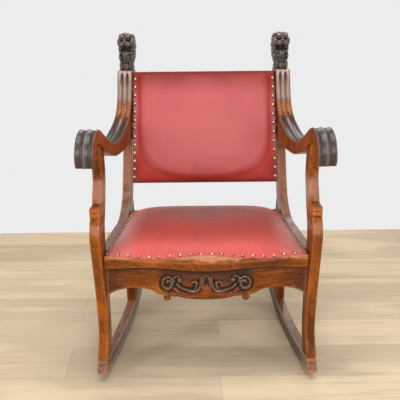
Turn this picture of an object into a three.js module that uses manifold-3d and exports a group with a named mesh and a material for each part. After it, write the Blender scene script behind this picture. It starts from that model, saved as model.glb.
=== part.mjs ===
// A carved oak rocking chair: two splayed side frames on curved runners, held apart by an apron and
// a rear rail, with a padded leather seat and a padded leather back between them.
// Millimetres, +Z up. The chair faces -Y, and +X is the side on the right of a viewer in front of it.

import * as THREE from "three";
import { mergeVertices } from "three/addons/utils/BufferGeometryUtils.js";
import Module from "manifold-3d";

const wasm = await Module();
wasm.setup();

// Driving dimensions of the side frames, measured in each frame's own plane from the runner's toe
const FRONT_SPREAD = 600;
const SPLAY = THREE.MathUtils.degToRad(6.84);
const FRAME_THICKNESS = 28.5;
const EASED_EDGE = 2;
const CLEARANCE = 0.3;
const OVERRUN = 12;

// Runner: a flatter arc in front and a rounder one behind, which meet in the short flat that the
// chair rests on, under its centre of mass
const RUNNER_FRONT_RADIUS = 1500;
const RUNNER_REAR_RADIUS = 740;
const RUNNER_DEPTH = 44;
const BALANCE_SHARE = 0.6026;
const RUNNER_TAIL = 388;
const REST_FLAT = 36;

// Front leg, with its collar above the level of the seat
const LEG_REACH = 100;
const LEG_FOOT_LEVEL = 56;
const COLLAR_LIFT = 116;
const COLLAR_HEIGHT = 28;
const COLLAR_STEP = 33;
const COLLAR_GROOVE = 2.5;
const LEG_TOP_LIFT = 90;

// Side rail, J-shaped, with its top a little below the seat frame's
const SIDE_RAIL_STEP = 8;
const SIDE_RAIL_DEPTH = 48;
const SIDE_RAIL_REACH = 468;

// Rear leg, set in from the side rail's upright end
const REAR_LEG_SETBACK = 31;
const REAR_LEG_DEPTH = 44;
const REAR_LEG_THICKNESS = 30;
const REAR_LEG_SWEEP = 12;
const REAR_LEG_LAP = 44;

// Back post and arm, one plank that reaches from in front of the leg to behind the side rail
const ARM_WIDTH = 50;
const ARM_TAPER = 4.5;
const ARM_OVERHANG = 74;
const POST_OVERHANG = 44;
const ARM_LIFT = 232;
const ARM_RISE = 212;
const REED_DEPTH = 4;
const REED_COUNT = 3;

// Lion head on top of the back post
const HEAD_LEAN = 2;
const HEAD_SHIFT = 5;
const HEAD_DEPTH = 74;
const HEAD_WIDTH = 56;
const HEAD_HEIGHT = 116;

// Joints in the wood
const TENON_LENGTH = 14;
const TENON_THICKNESS = 11;
const TENON_WIDTH = 26;
const SCREW_SHANK = 5;
const SCREW_HEAD = 10;
const SCREW_HEAD_HEIGHT = 3.5;
const SCREW_BITE = 30;
const SCREW_SINK = 8;
const DOWEL_DIAMETER = 10;
const DOWEL_LENGTH = 40;

// Apron and rear rail
const APRON_PLACE = 47;
const APRON_THICKNESS = 18;
const APRON_HEIGHT = 108;
const APRON_ARCH = 40;
const APRON_DROP_PLACE = 110;
const APRON_DROP_WIDTH = 19;
const SCALLOP_COUNT = 9;
const SCALLOP_DEPTH = 4;
const SCALLOP_LEVEL = 16;
const REAR_RAIL_HEIGHT = 60;
const REAR_RAIL_THICKNESS = 22;
const REAR_RAIL_DROP = 60;

// Seat
const SEAT_LEVEL = 378;
const SEAT_REAR_GAP = 5;
const SEAT_GAP = 2.5;
const SEAT_FRAME_HEIGHT = 36;
const SEAT_RAIL_WIDTH = 46;
const SEAT_FRONT_BACK_EDGE = 78;
const SEAT_FRONT_CORNER = 20;
const SEAT_FRONT_WAIST = 30;
const SEAT_FRONT_BOW = -3;
const SEAT_COVER_BOW = 14;
const SEAT_CROWN = 52;
const SEAT_BLOCK_LEG = 50;
const CLEAT_WIDTH = 22;
const CLEAT_HEIGHT = 24;
const CLEAT_START = 104;
const CLEAT_REAR_GAP = 54;

// Back
const BACK_SETBACK = 92;
const BACK_LIFT = 106;
const BACK_RECLINE = THREE.MathUtils.degToRad(13);
const BACK_HEIGHT = 343;
const BACK_GAP = 1.2;
const BACK_FRAME_THICKNESS = 22;
const BACK_RAIL_WIDTH = 42;
const BACK_CROWN = 22;

// Upholstery
const LEATHER = 2;
const LEATHER_BORDER = 13;
const BURLAP = 1;
const WEBBING = 1.5;
const WEBBING_WIDTH = 50;
const WEBBING_LAP = 26;
const SEAT_STRIP_PITCH = 96;
const SEAT_CROSS_PITCH = 74;
const BACK_STRIP_PITCH = 117;
const BACK_CROSS_PITCH = 130;

// Levels and places that follow from these sizes
const ARM_LEVEL = SEAT_LEVEL + ARM_LIFT;
const BACK_LEVEL = SEAT_LEVEL + BACK_LIFT;
const COLLAR_LEVEL = SEAT_LEVEL + COLLAR_LIFT;
const LEG_TOP_LEVEL = ARM_LEVEL + LEG_TOP_LIFT;
const SIDE_RAIL_LEVEL = SEAT_LEVEL - SIDE_RAIL_STEP;
const ARM_FRONT = -ARM_OVERHANG;
const ARM_REACH = ARM_OVERHANG + SIDE_RAIL_REACH + POST_OVERHANG;
const RUNNER_BALANCE = BALANCE_SHARE * SIDE_RAIL_REACH;
const REAR_LEG_PLACE = SIDE_RAIL_REACH - REAR_LEG_SETBACK;
const BACK_PLACE = SIDE_RAIL_REACH - BACK_SETBACK;
const SEAT_END = REAR_LEG_PLACE - REAR_LEG_SWEEP - SEAT_REAR_GAP;
const CLEAT_LENGTH = SEAT_END - CLEAT_REAR_GAP - CLEAT_START;

// Colours
const OAK = new THREE.MeshStandardMaterial({ color: 0x8a4a1e, roughness: 0.4, metalness: 0 });
const DARK_OAK = new THREE.MeshStandardMaterial({ color: 0x4a2a1c, roughness: 0.45, metalness: 0 });
const RAW_WOOD = new THREE.MeshStandardMaterial({ color: 0xb08a5c, roughness: 0.7, metalness: 0 });
const LEATHER_RED = new THREE.MeshStandardMaterial({ color: 0xb8443e, roughness: 0.45, metalness: 0 });
const JUTE = new THREE.MeshStandardMaterial({ color: 0x9c8258, roughness: 0.95, metalness: 0 });
const COTTON = new THREE.MeshStandardMaterial({ color: 0xd8d0c0, roughness: 0.95, metalness: 0 });
const STEEL = new THREE.MeshStandardMaterial({ color: 0x8c8a86, roughness: 0.4, metalness: 0.9 });

// Closed solids, for joining and cutting

function solidOf(geometry, matrix = new THREE.Matrix4()) {
  const bare = geometry.clone();
  bare.deleteAttribute("normal");
  bare.deleteAttribute("uv");
  bare.applyMatrix4(matrix);
  const merged = mergeVertices(bare);
  const corners = new Uint32Array(merged.index.array);
  if (matrix.determinant() < 0) corners.reverse();
  return new wasm.Manifold(
    new wasm.Mesh({
      numProp: 3,
      vertProperties: merged.attributes.position.array,
      triVerts: corners,
    }),
  );
}

function geometryOf(solid) {
  const mesh = solid.getMesh();
  const geometry = new THREE.BufferGeometry();
  geometry.setAttribute("position", new THREE.BufferAttribute(mesh.vertProperties, 3));
  geometry.setIndex(new THREE.BufferAttribute(mesh.triVerts, 1));
  geometry.computeVertexNormals();
  return geometry;
}

// A loft through rings of points, each ring listed anticlockwise as seen from the far end.
function loft(rings) {
  const count = rings[0].length;
  const positions = rings.flat().flatMap((point) => point.toArray());
  const triangles = [];
  const last = (rings.length - 1) * count;
  rings.slice(1).forEach((ring, row) => {
    ring.forEach((point, i) => {
      const a = row * count + i;
      const b = row * count + ((i + 1) % count);
      triangles.push(a, b, b + count, a, b + count, a + count);
    });
  });
  const capOf = (ring) => {
    const centre = new THREE.Vector3();
    ring.forEach((point) => centre.addScaledVector(point, 1 / count));
    positions.push(...centre.toArray());
    return positions.length / 3 - 1;
  };
  const startCentre = capOf(rings[0]);
  const endCentre = capOf(rings[rings.length - 1]);
  for (let i = 0; i < count; i++) {
    const next = (i + 1) % count;
    triangles.push(startCentre, next, i);
    triangles.push(endCentre, last + i, last + next);
  }
  const geometry = new THREE.BufferGeometry();
  geometry.setAttribute("position", new THREE.Float32BufferAttribute(positions, 3));
  geometry.setIndex(triangles);
  geometry.computeVertexNormals();
  return geometry;
}

function block(width, depth, height, x, y, z) {
  return new THREE.BoxGeometry(width, depth, height).translate(x, y, z);
}

const sawnPlane = new THREE.Matrix4().makeBasis(
  new THREE.Vector3(0, 1, 0),
  new THREE.Vector3(0, 0, 1),
  new THREE.Vector3(1, 0, 0),
);

// A plank sawn to an outline of (distance back, height) points, centred on the frame's middle plane.
function plank(points, thickness, eased = EASED_EDGE) {
  const geometry = new THREE.ExtrudeGeometry(new THREE.Shape(points), {
    depth: thickness - 2 * eased,
    bevelEnabled: eased > 0,
    bevelThickness: eased,
    bevelSize: eased,
    bevelOffset: -eased,
    bevelSegments: 1,
    steps: 1,
  });
  geometry.translate(0, 0, eased - thickness / 2);
  return geometry.applyMatrix4(sawnPlane);
}

// A smooth edge through points given as shares of a width and a height, from a corner.
function edge(shares, corner, width, height, steps) {
  const points = shares.map(
    ([across, up]) => new THREE.Vector2(corner.x + across * width, corner.y + up * height),
  );
  return new THREE.SplineCurve(points).getPoints(steps);
}

const at = (x, y) => new THREE.Vector2(x, y);

// The other coordinate where a line of points crosses a value of one coordinate
function crossing(points, axis, value) {
  const other = axis === "x" ? "y" : "x";
  for (let i = 1; i < points.length; i++) {
    const [a, b] = [points[i - 1], points[i]];
    if ((a[axis] - value) * (b[axis] - value) > 0 || a[axis] === b[axis]) continue;
    return THREE.MathUtils.mapLinear(value, a[axis], b[axis], a[other], b[other]);
  }
  throw new Error("no point of the line is at " + axis + " = " + value);
}

// Runner

const frontArc = { radius: RUNNER_FRONT_RADIUS, side: -1 };
const rearArc = { radius: RUNNER_REAR_RADIUS, side: 1 };

// A point of the runner, at an angle from one end of its flat and a depth up from its sole
function runnerPoint({ radius, side }, angle, depth) {
  const turn = (radius - depth) * Math.sin(angle);
  const lift = radius - (radius - depth) * Math.cos(angle);
  return at(RUNNER_BALANCE + side * (REST_FLAT / 2 + turn), lift);
}

// The angle on the nearer arc at a distance back from the toe
function runnerAngle(back, depth) {
  const arc = back < RUNNER_BALANCE ? frontArc : rearArc;
  const reach = Math.max(0, Math.abs(back - RUNNER_BALANCE) - REST_FLAT / 2);
  return { arc, angle: Math.asin(reach / (arc.radius - depth)) };
}

const toeAngle = runnerAngle(0, 0).angle;
const tailAngle = runnerAngle(RUNNER_BALANCE + RUNNER_TAIL, 0).angle;
const RUNNER_STEPS = 7;
const toeShares = [[0.3, 1], [0.12, 0.86], [0.1, 0.6], [0, 0.5], [0.02, 0.14], [0.16, 0]];
const tailShares = [[0.5, 0], [0.15, 0.12], [0, 0.4], [0.05, 0.75], [0.25, 0.95], [0.5, 1]];

function arcPoints(arc, from, to, depth) {
  return Array.from({ length: RUNNER_STEPS + 1 }, (_, i) =>
    runnerPoint(arc, THREE.MathUtils.lerp(from, to, i / RUNNER_STEPS), depth),
  );
}

function runnerEnd(arc, endAngle, shares) {
  return shares.map(([back, deep]) =>
    runnerPoint(arc, endAngle - (back * RUNNER_DEPTH) / arc.radius, deep * RUNNER_DEPTH),
  );
}

const TOE_INSET_SHARE = 0.6;
const TAIL_INSET_SHARE = 0.8;

function runnerOutline() {
  const toeInset = toeAngle - (TOE_INSET_SHARE * RUNNER_DEPTH) / RUNNER_FRONT_RADIUS;
  const tailInset = tailAngle - (TAIL_INSET_SHARE * RUNNER_DEPTH) / RUNNER_REAR_RADIUS;
  return [
    ...runnerEnd(frontArc, toeAngle, toeShares),
    ...arcPoints(frontArc, toeInset, 0, 0),
    ...arcPoints(rearArc, 0, tailInset, 0),
    ...runnerEnd(rearArc, tailAngle, tailShares),
    ...arcPoints(rearArc, tailInset, 0, RUNNER_DEPTH),
    ...arcPoints(frontArc, 0, toeInset, RUNNER_DEPTH),
  ];
}

// Height of the runner's top over the floor, at a distance back from the toe
function runnerTop(back) {
  const { arc, angle } = runnerAngle(back, RUNNER_DEPTH);
  return runnerPoint(arc, angle, RUNNER_DEPTH).y;
}

// Front leg, an S-curve below the collar and a second one above it

const legFrontShares = [
  [0.12, -0.02], [0.2, 0.05], [0.42, 0.19], [0.31, 0.43], [0.1, 0.66], [-0.08, 0.88], [0.08, 1],
];
const legUpperFrontShares = [[0, 0], [0.09, 0.17], [0.21, 0.38], [0.14, 0.68], [0.04, 1]];
const legUpperBackShares = [[0.5, 0.93], [0.55, 0.7], [0.6, 0.4], [0.52, 0.15], [0.46, 0]];
const legBackShares = [
  [0.76, 1], [0.6, 0.88], [0.68, 0.66], [0.82, 0.43], [0.88, 0.19], [0.78, 0.05], [0.74, -0.02],
];

const legFoot = at(0, LEG_FOOT_LEVEL);
const lowerHeight = COLLAR_LEVEL - LEG_FOOT_LEVEL;
const legBackEdge = edge(legBackShares, legFoot, LEG_REACH, lowerHeight, 16);

const FOOT_MIDDLE_SHARE = 0.47;
const TOP_STEP_SHARE = 0.6;
const legFootMiddle = LEG_REACH * FOOT_MIDDLE_SHARE;
const legTopMiddle = legFootMiddle + COLLAR_STEP * TOP_STEP_SHARE;

function frontLegOutline() {
  const collarTop = COLLAR_LEVEL + COLLAR_HEIGHT;
  const upperHeight = LEG_TOP_LEVEL - collarTop;
  const lowerFront = edge(legFrontShares, legFoot, LEG_REACH, lowerHeight, 18);
  const collarFront = lowerFront[lowerFront.length - 1].x - COLLAR_GROOVE;
  const ledge = at(collarFront + COLLAR_STEP, collarTop);
  const middle = COLLAR_LEVEL + COLLAR_HEIGHT / 2;
  return [
    ...lowerFront,
    at(collarFront, COLLAR_LEVEL + COLLAR_GROOVE),
    at(collarFront - COLLAR_GROOVE, middle - COLLAR_GROOVE),
    at(collarFront + COLLAR_GROOVE, middle),
    at(collarFront - COLLAR_GROOVE, middle + COLLAR_GROOVE),
    at(collarFront, collarTop - COLLAR_GROOVE),
    at(collarFront + COLLAR_GROOVE, collarTop),
    ...edge(legUpperFrontShares, ledge, LEG_REACH, upperHeight, 10),
    ...edge(legUpperBackShares, ledge, LEG_REACH, upperHeight, 8),
    ...legBackEdge,
  ].reverse();
}

// Side rail: runs back from the front leg under the seat's side, then curves up to the post

const railTopShares = [
  [0.1, 0.09], [0.16, 0.04], [0.27, 0.01], [0.41, 0], [0.6, 0], [0.73, 0],
  [0.82, 0.075], [0.895, 0.215], [0.942, 0.475], [0.98, 0.73], [1, 1],
];
const railBottomShares = [
  [0.977, 1], [0.956, 0.72], [0.919, 0.47], [0.868, 0.22], [0.775, 0.06],
  [0.68, 0], [0.5, 0], [0.27, 0], [0.1, 0.03],
];

const railRise = ARM_LEVEL + OVERRUN - SIDE_RAIL_LEVEL;
const railTopEdge = edge(railTopShares, at(0, SIDE_RAIL_LEVEL), SIDE_RAIL_REACH, railRise, 30);
const railBottomEdge = edge(
  railBottomShares,
  at(0, SIDE_RAIL_LEVEL - SIDE_RAIL_DEPTH),
  SIDE_RAIL_REACH + SIDE_RAIL_DEPTH,
  railRise + SIDE_RAIL_DEPTH,
  26,
);

function sideRailOutline() {
  return [...railTopEdge, ...railBottomEdge].reverse();
}

// Rear leg, swept a little to the front between the runner and the side rail

function rearLegOutline() {
  const foot = runnerTop(REAR_LEG_PLACE) - OVERRUN;
  const height = SIDE_RAIL_LEVEL + REAR_LEG_LAP - foot;
  const sweep = REAR_LEG_SWEEP / REAR_LEG_DEPTH;
  const frontShares = [[0, 0], [-0.8 * sweep, 0.35], [-sweep, 0.6], [0, 1]];
  const backShares = [[0.45, 1], [0.7, 0.85], [1 - sweep, 0.6], [1 - 0.8 * sweep, 0.35], [1, 0]];
  const corner = at(REAR_LEG_PLACE, foot);
  return [
    ...edge(backShares, corner, REAR_LEG_DEPTH, height, 8).reverse(),
    ...edge(frontShares, corner, REAR_LEG_DEPTH, height, 8).reverse(),
  ];
}

// Back post and arm: pairs of points on the reeded face and on the plain face, from the post's top
// down the post, round the elbow, along the arm and over the scroll to its tip

const reededFaceShares = [
  [0.899, 1.02], [0.889, 0.873], [0.878, 0.717], [0.86, 0.571], [0.826, 0.443], [0.783, 0.363],
  [0.737, 0.311], [0.683, 0.269], [0.621, 0.231], [0.56, 0.215], [0.469, 0.226], [0.38, 0.283],
  [0.3, 0.377], [0.22, 0.5], [0.16, 0.587], [0.115, 0.618], [0.065, 0.59], [0.025, 0.505],
  [0.003, 0.382], [0, 0.283], [0.01, 0.2],
];
const plainFaceShares = [
  [0.999, 1.02], [0.992, 0.873], [0.988, 0.708], [0.989, 0.495], [0.995, 0.283], [1.005, 0.123],
  [1.009, 0.01], [0.86, 0], [0.724, -0.005], [0.613, 0], [0.48, 0.033], [0.395, 0.094],
  [0.32, 0.175], [0.245, 0.287], [0.18, 0.394], [0.125, 0.44], [0.09, 0.4415], [0.065, 0.419],
  [0.051, 0.358], [0.042, 0.276], [0.036, 0.2],
];
const ARM_STEPS = 46;

const armCorner = at(ARM_FRONT, ARM_LEVEL);

function armEdges() {
  return {
    reeded: edge(reededFaceShares, armCorner, ARM_REACH, ARM_RISE, ARM_STEPS),
    plain: edge(plainFaceShares, armCorner, ARM_REACH, ARM_RISE, ARM_STEPS),
  };
}

// All that lies above the arm's underside, for cutting off what carries it
function overArmOutline() {
  const { plain } = armEdges();
  const above = ARM_LEVEL + 2 * ARM_RISE;
  return [...plain, at(ARM_FRONT, above), at(ARM_FRONT + ARM_REACH, above)].reverse();
}

// The outer face of the plank draws in from the elbow up to the post
const TAPER_START_SHARE = 0.55;
const TAPER_END_SHARE = 0.85;

function outerFace(back) {
  const share = (back - ARM_FRONT) / ARM_REACH;
  const taper = THREE.MathUtils.smoothstep(share, TAPER_START_SHARE, TAPER_END_SHARE);
  return ARM_WIDTH / 2 - ARM_TAPER * taper;
}

function armGeometry() {
  const { reeded, plain } = armEdges();
  const flutes = REED_COUNT - 1;
  const fluteSteps = 4;
  const rings = reeded.map((outer, i) => {
    const inner = plain[i];
    const inward = inner.clone().sub(outer).normalize();
    const [innerSide, outerSide] = [-ARM_WIDTH / 2, outerFace(outer.x)];
    const fluteWidth = (outerSide - innerSide - 2 * EASED_EDGE) / flutes;
    const point = (x, base, depth) =>
      new THREE.Vector3(x, base.x + inward.x * depth, base.y + inward.y * depth);
    const ring = [point(innerSide, outer, EASED_EDGE)];
    for (let k = 0; k <= flutes * fluteSteps; k++) {
      const share = k / fluteSteps;
      const hollow = REED_DEPTH * Math.abs(Math.sin(Math.PI * share));
      ring.push(point(innerSide + EASED_EDGE + fluteWidth * share, outer, hollow));
    }
    ring.push(point(outerSide, outer, EASED_EDGE));
    ring.push(point(outerSide, inner, -EASED_EDGE));
    ring.push(point(outerSide - EASED_EDGE, inner, 0));
    ring.push(point(innerSide + EASED_EDGE, inner, 0));
    ring.push(point(innerSide, inner, -EASED_EDGE));
    return ring.reverse();
  });
  return loft(rings);
}

// Lion head: level rings from the neck to the crown, each as shares of its level, its half width, its
// front and its back. The muzzle juts out over the open mouth, and the brow over the eyes.
const headShares = [
  [0, 0.4, 0.14, 0.86], [0.1, 0.44, 0.16, 0.9], [0.2, 0.47, 0.26, 0.95], [0.29, 0.48, 0.14, 0.98],
  [0.36, 0.48, 0.05, 1], [0.43, 0.48, 0.07, 1], [0.47, 0.49, 0.22, 1], [0.51, 0.5, 0.2, 1],
  [0.55, 0.5, 0.01, 1], [0.62, 0.5, 0, 1], [0.68, 0.49, 0.07, 1], [0.74, 0.48, 0.17, 0.99],
  [0.79, 0.47, 0.22, 0.98], [0.84, 0.46, 0.15, 0.96], [0.91, 0.44, 0.2, 0.93],
  [0.97, 0.38, 0.32, 0.86], [1, 0.26, 0.42, 0.76],
];
const HEAD_SIDES = 20;
const SQUARENESS_SHARE = 0.62;

function headGeometry() {
  const rounded = (value) => Math.sign(value) * Math.abs(value) ** SQUARENESS_SHARE;
  const neck = ARM_LEVEL + ARM_RISE - EASED_EDGE;
  const { reeded, plain } = armEdges();
  const postMiddle = (reeded[0].x + plain[0].x) / 2;
  const headFront = postMiddle + HEAD_LEAN - HEAD_DEPTH / 2;
  const rings = headShares.map(([level, halfShare, frontShare, backShare]) => {
    const front = headFront + frontShare * HEAD_DEPTH;
    const back = headFront + backShare * HEAD_DEPTH;
    return Array.from({ length: HEAD_SIDES }, (_, i) => {
      const turn = (2 * Math.PI * i) / HEAD_SIDES;
      const x = halfShare * HEAD_WIDTH * rounded(Math.cos(turn)) - HEAD_SHIFT;
      const y = (front + back) / 2 + ((back - front) / 2) * rounded(Math.sin(turn));
      return new THREE.Vector3(x, y, neck + level * HEAD_HEIGHT);
    });
  });
  return loft(rings);
}

// Screw: flat head at the origin's level, shank upwards
function screwGeometry(length) {
  const shank = SCREW_SHANK / 2;
  const head = SCREW_HEAD / 2;
  const top = [at(0, 0), at(head, 0), at(shank, SCREW_HEAD_HEIGHT)];
  const profile = [...top, at(shank, length - SCREW_SHANK), at(0, length)];
  return new THREE.LatheGeometry(profile, 12).rotateX(Math.PI / 2);
}

// Hole for that screw, with room round it, which also opens the wood below the head
function screwHole(length) {
  const shank = SCREW_SHANK / 2 + CLEARANCE;
  const head = SCREW_HEAD / 2 + CLEARANCE;
  const under = -OVERRUN - SCREW_SINK;
  const seat = SCREW_HEAD_HEIGHT + CLEARANCE;
  const mouth = [at(0, under), at(head, under), at(head, -CLEARANCE), at(shank, seat)];
  const profile = [...mouth, at(shank, length), at(0, length + CLEARANCE)];
  return new THREE.LatheGeometry(profile, 12).rotateX(Math.PI / 2);
}

// Places of the side frames. The left one is the right one's mirror image.
const rightPlace = new THREE.Matrix4().makeRotationZ(SPLAY).setPosition(FRONT_SPREAD / 2, 0, 0);
const mirror = new THREE.Matrix4().makeScale(-1, 1, 1);
const toRightFrame = rightPlace.clone().invert();

// Half the width between the side frames at a distance back, for faces this far from their middle
function halfWidth(back, fromMiddlePlane) {
  return FRONT_SPREAD / 2 - back * Math.tan(SPLAY) - fromMiddlePlane / Math.cos(SPLAY);
}

const postFace = (back) => halfWidth(back, ARM_WIDTH / 2);

// Wood between the side frames is cut off along their inner faces
function betweenFrames(solid) {
  const reach = FRONT_SPREAD + 2 * ARM_REACH;
  const face = block(reach, 2 * reach, 2 * reach, reach / 2 - FRAME_THICKNESS / 2 - CLEARANCE, 0, 0);
  const left = mirror.clone().multiply(rightPlace);
  return solid.subtract(solidOf(face, rightPlace)).subtract(solidOf(face, left));
}

// Tenons of the apron and the rear rail, at the right side frame
const CROSS_TENON_SHARE = 0.5;
const APRON_TENON_DROP_SHARE = 0.33;
const apronTop = SEAT_LEVEL - SEAT_FRAME_HEIGHT - CLEARANCE;
const apronTenonLevel = apronTop - APRON_HEIGHT * APRON_TENON_DROP_SHARE;
const rearRailTop = SIDE_RAIL_LEVEL - REAR_RAIL_DROP;
const rearRailPlace = REAR_LEG_PLACE - REAR_LEG_SWEEP / 2 + REAR_LEG_DEPTH / 2;

function crossTenon(place, level, height, spare, fromMiddlePlane) {
  const face = halfWidth(place, fromMiddlePlane);
  const length = TENON_LENGTH + OVERRUN;
  const x = face + TENON_LENGTH / 2 - OVERRUN / 2;
  return block(length + 2 * spare, TENON_THICKNESS + 2 * spare, height + 2 * spare, x, place, level);
}

const apronTenonPlace = APRON_PLACE + APRON_THICKNESS / 2;
const apronTenonHeight = APRON_HEIGHT * CROSS_TENON_SHARE;
const rearTenonHeight = REAR_RAIL_HEIGHT * CROSS_TENON_SHARE;
const rearRailLevel = rearRailTop - REAR_RAIL_HEIGHT / 2;
const apronTenon = (spare) =>
  crossTenon(apronTenonPlace, apronTenonLevel, apronTenonHeight, spare, FRAME_THICKNESS / 2);
const rearTenon = (spare) =>
  crossTenon(rearRailPlace, rearRailLevel, rearTenonHeight, spare, REAR_LEG_THICKNESS / 2);

// Dowels between the back frame and the posts
const backPlace = new THREE.Matrix4()
  .makeRotationX(Math.PI / 2 - BACK_RECLINE)
  .setPosition(0, BACK_PLACE, BACK_LEVEL);
const LOWER_DOWEL_SHARE = 0.52;
const dowelHeights = [
  LOWER_DOWEL_SHARE * BACK_HEIGHT,
  BACK_HEIGHT - BACK_RAIL_WIDTH - DOWEL_DIAMETER,
];

function dowelCentre(height) {
  const centre = new THREE.Vector3(0, height, -BACK_FRAME_THICKNESS / 2);
  centre.applyMatrix4(backPlace);
  centre.x = postFace(centre.y) - BACK_GAP;
  return centre;
}

function dowel(height, spare) {
  const centre = dowelCentre(height);
  const radius = DOWEL_DIAMETER / 2 + spare;
  const peg = new THREE.CylinderGeometry(radius, radius, DOWEL_LENGTH + 2 * spare, 12);
  return peg.rotateZ(Math.PI / 2).translate(centre.x, centre.y, centre.z);
}

// Screws up through the cleats into the seat's side rails
const seatScrewShares = [0.12, 0.88];
const SEAT_SCREW_BITE_SHARE = 0.6;
const seatScrewLevel = SEAT_LEVEL - SEAT_FRAME_HEIGHT - CLEARANCE - CLEAT_HEIGHT + SCREW_SINK;
const seatScrewLength = CLEAT_HEIGHT - SCREW_SINK + SEAT_FRAME_HEIGHT * SEAT_SCREW_BITE_SHARE;
const cleatMiddle = -FRAME_THICKNESS / 2 - CLEARANCE - CLEAT_WIDTH / 2;

function seatScrewPlace(share) {
  return new THREE.Vector3(cleatMiddle, CLEAT_START + share * CLEAT_LENGTH, seatScrewLevel);
}

// Right side frame, in its own plane

function inFrame(geometry) {
  return solidOf(geometry, toRightFrame);
}

function upTenon(back, level, spare) {
  const width = TENON_WIDTH + 2 * spare;
  const height = 2 * TENON_LENGTH + 2 * spare;
  return solidOf(block(TENON_THICKNESS + 2 * spare, width, height, 0, back, level));
}

function backTenon(back, level, spare) {
  const depth = 2 * TENON_LENGTH + 2 * spare;
  const height = TENON_WIDTH + 2 * spare;
  return solidOf(block(TENON_THICKNESS + 2 * spare, depth, height, 0, back, level));
}

function runnerScrew(back) {
  const { arc, angle } = runnerAngle(back, 0);
  const foot = runnerPoint(arc, angle, SCREW_SINK);
  return new THREE.Matrix4().makeRotationX(arc.side * angle).setPosition(0, foot.x, foot.y);
}

const rearFootMiddle = REAR_LEG_PLACE + REAR_LEG_DEPTH / 2;
const REAR_TOP_SHARE = 0.65;
const RAIL_JOINT_SHARE = 0.45;
const rearTopMiddle = rearFootMiddle - TENON_WIDTH * REAR_TOP_SHARE;
const railJointLevel = SIDE_RAIL_LEVEL - SIDE_RAIL_DEPTH * RAIL_JOINT_SHARE;
const railTopMiddle = (railTopEdge[railTopEdge.length - 1].x + railBottomEdge[0].x) / 2;
const screwLength = RUNNER_DEPTH - SCREW_SINK + SCREW_BITE;

function sideFrameSolids() {
  const wide = ARM_WIDTH + OVERRUN;
  const runner = solidOf(plank(runnerOutline(), FRAME_THICKNESS));
  const leg = solidOf(plank(frontLegOutline(), FRAME_THICKNESS));
  const rail = solidOf(plank(sideRailOutline(), FRAME_THICKNESS));
  const rearLeg = solidOf(plank(rearLegOutline(), REAR_LEG_THICKNESS));
  const arm = solidOf(armGeometry()).add(solidOf(headGeometry()));

  const down = new THREE.Matrix4().makeTranslation(0, 0, -CLEARANCE);
  const up = new THREE.Matrix4().makeTranslation(0, 0, CLEARANCE);
  const back = new THREE.Matrix4().makeTranslation(0, CLEARANCE, 0);
  const overRunner = solidOf(plank(runnerOutline(), wide, 0), up);
  const underArm = solidOf(plank(overArmOutline(), wide, 0), down);
  const underRail = solidOf(plank(sideRailOutline(), wide, 0), down);
  const behindLeg = solidOf(plank(frontLegOutline(), wide, 0), back);

  const armUnderside = armEdges().plain;
  const legTopLevel = crossing(armUnderside.slice(armUnderside.length / 3), "x", legTopMiddle);
  const rearTopLevel = crossing(railBottomEdge, "x", rearTopMiddle);
  const railFront = crossing(legBackEdge, "y", railJointLevel);
  const legFootTenon = (spare) => upTenon(legFootMiddle, runnerTop(legFootMiddle), spare);
  const rearFootTenon = (spare) => upTenon(rearFootMiddle, runnerTop(rearFootMiddle), spare);
  const rearTopTenon = (spare) => upTenon(rearTopMiddle, rearTopLevel, spare);
  const railTopTenon = (spare) =>
    upTenon(railTopMiddle, ARM_LEVEL, spare);
  const legTopTenon = (spare) => upTenon(legTopMiddle, legTopLevel, spare);
  const railFrontTenon = (spare) => backTenon(railFront, railJointLevel, spare);
  const screwHoles = [legFootMiddle, rearFootMiddle].map((place) =>
    solidOf(screwHole(screwLength + CLEARANCE), runnerScrew(place)),
  );

  return {
    runner: runner
      .subtract(legFootTenon(CLEARANCE))
      .subtract(rearFootTenon(CLEARANCE))
      .subtract(screwHoles[0])
      .subtract(screwHoles[1]),
    front_leg: leg
      .subtract(overRunner)
      .subtract(underArm)
      .add(legFootTenon(0))
      .add(legTopTenon(0))
      .subtract(railFrontTenon(CLEARANCE))
      .subtract(screwHoles[0])
      .subtract(inFrame(apronTenon(CLEARANCE))),
    side_rail: rail
      .subtract(behindLeg)
      .subtract(underArm)
      .add(railTopTenon(0))
      .add(railFrontTenon(0))
      .subtract(rearTopTenon(CLEARANCE)),
    rear_leg: rearLeg
      .subtract(overRunner)
      .subtract(underRail)
      .add(rearFootTenon(0))
      .add(rearTopTenon(0))
      .subtract(screwHoles[1])
      .subtract(inFrame(rearTenon(CLEARANCE))),
    post_arm: arm
      .subtract(railTopTenon(CLEARANCE))
      .subtract(legTopTenon(CLEARANCE))
      .subtract(inFrame(dowel(dowelHeights[0], CLEARANCE)))
      .subtract(inFrame(dowel(dowelHeights[1], CLEARANCE))),
    seat_cleat: seatCleat(),
  };
}

function seatCleat() {
  const level = SEAT_LEVEL - SEAT_FRAME_HEIGHT - CLEARANCE - CLEAT_HEIGHT / 2;
  const middle = CLEAT_START + CLEAT_LENGTH / 2;
  const bar = block(CLEAT_WIDTH, CLEAT_LENGTH, CLEAT_HEIGHT, cleatMiddle, middle, level);
  return seatScrewShares.reduce((solid, share) => {
    const place = new THREE.Matrix4().setPosition(seatScrewPlace(share));
    return solid.subtract(solidOf(screwHole(seatScrewLength + CLEARANCE), place));
  }, solidOf(bar));
}

const frameMaterials = {
  runner: DARK_OAK,
  front_leg: OAK,
  side_rail: DARK_OAK,
  rear_leg: DARK_OAK,
  post_arm: OAK,
  seat_cleat: RAW_WOOD,
};

function named(name, geometry, material) {
  const mesh = new THREE.Mesh(geometry, material.clone());
  mesh.name = name;
  return mesh;
}

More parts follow.
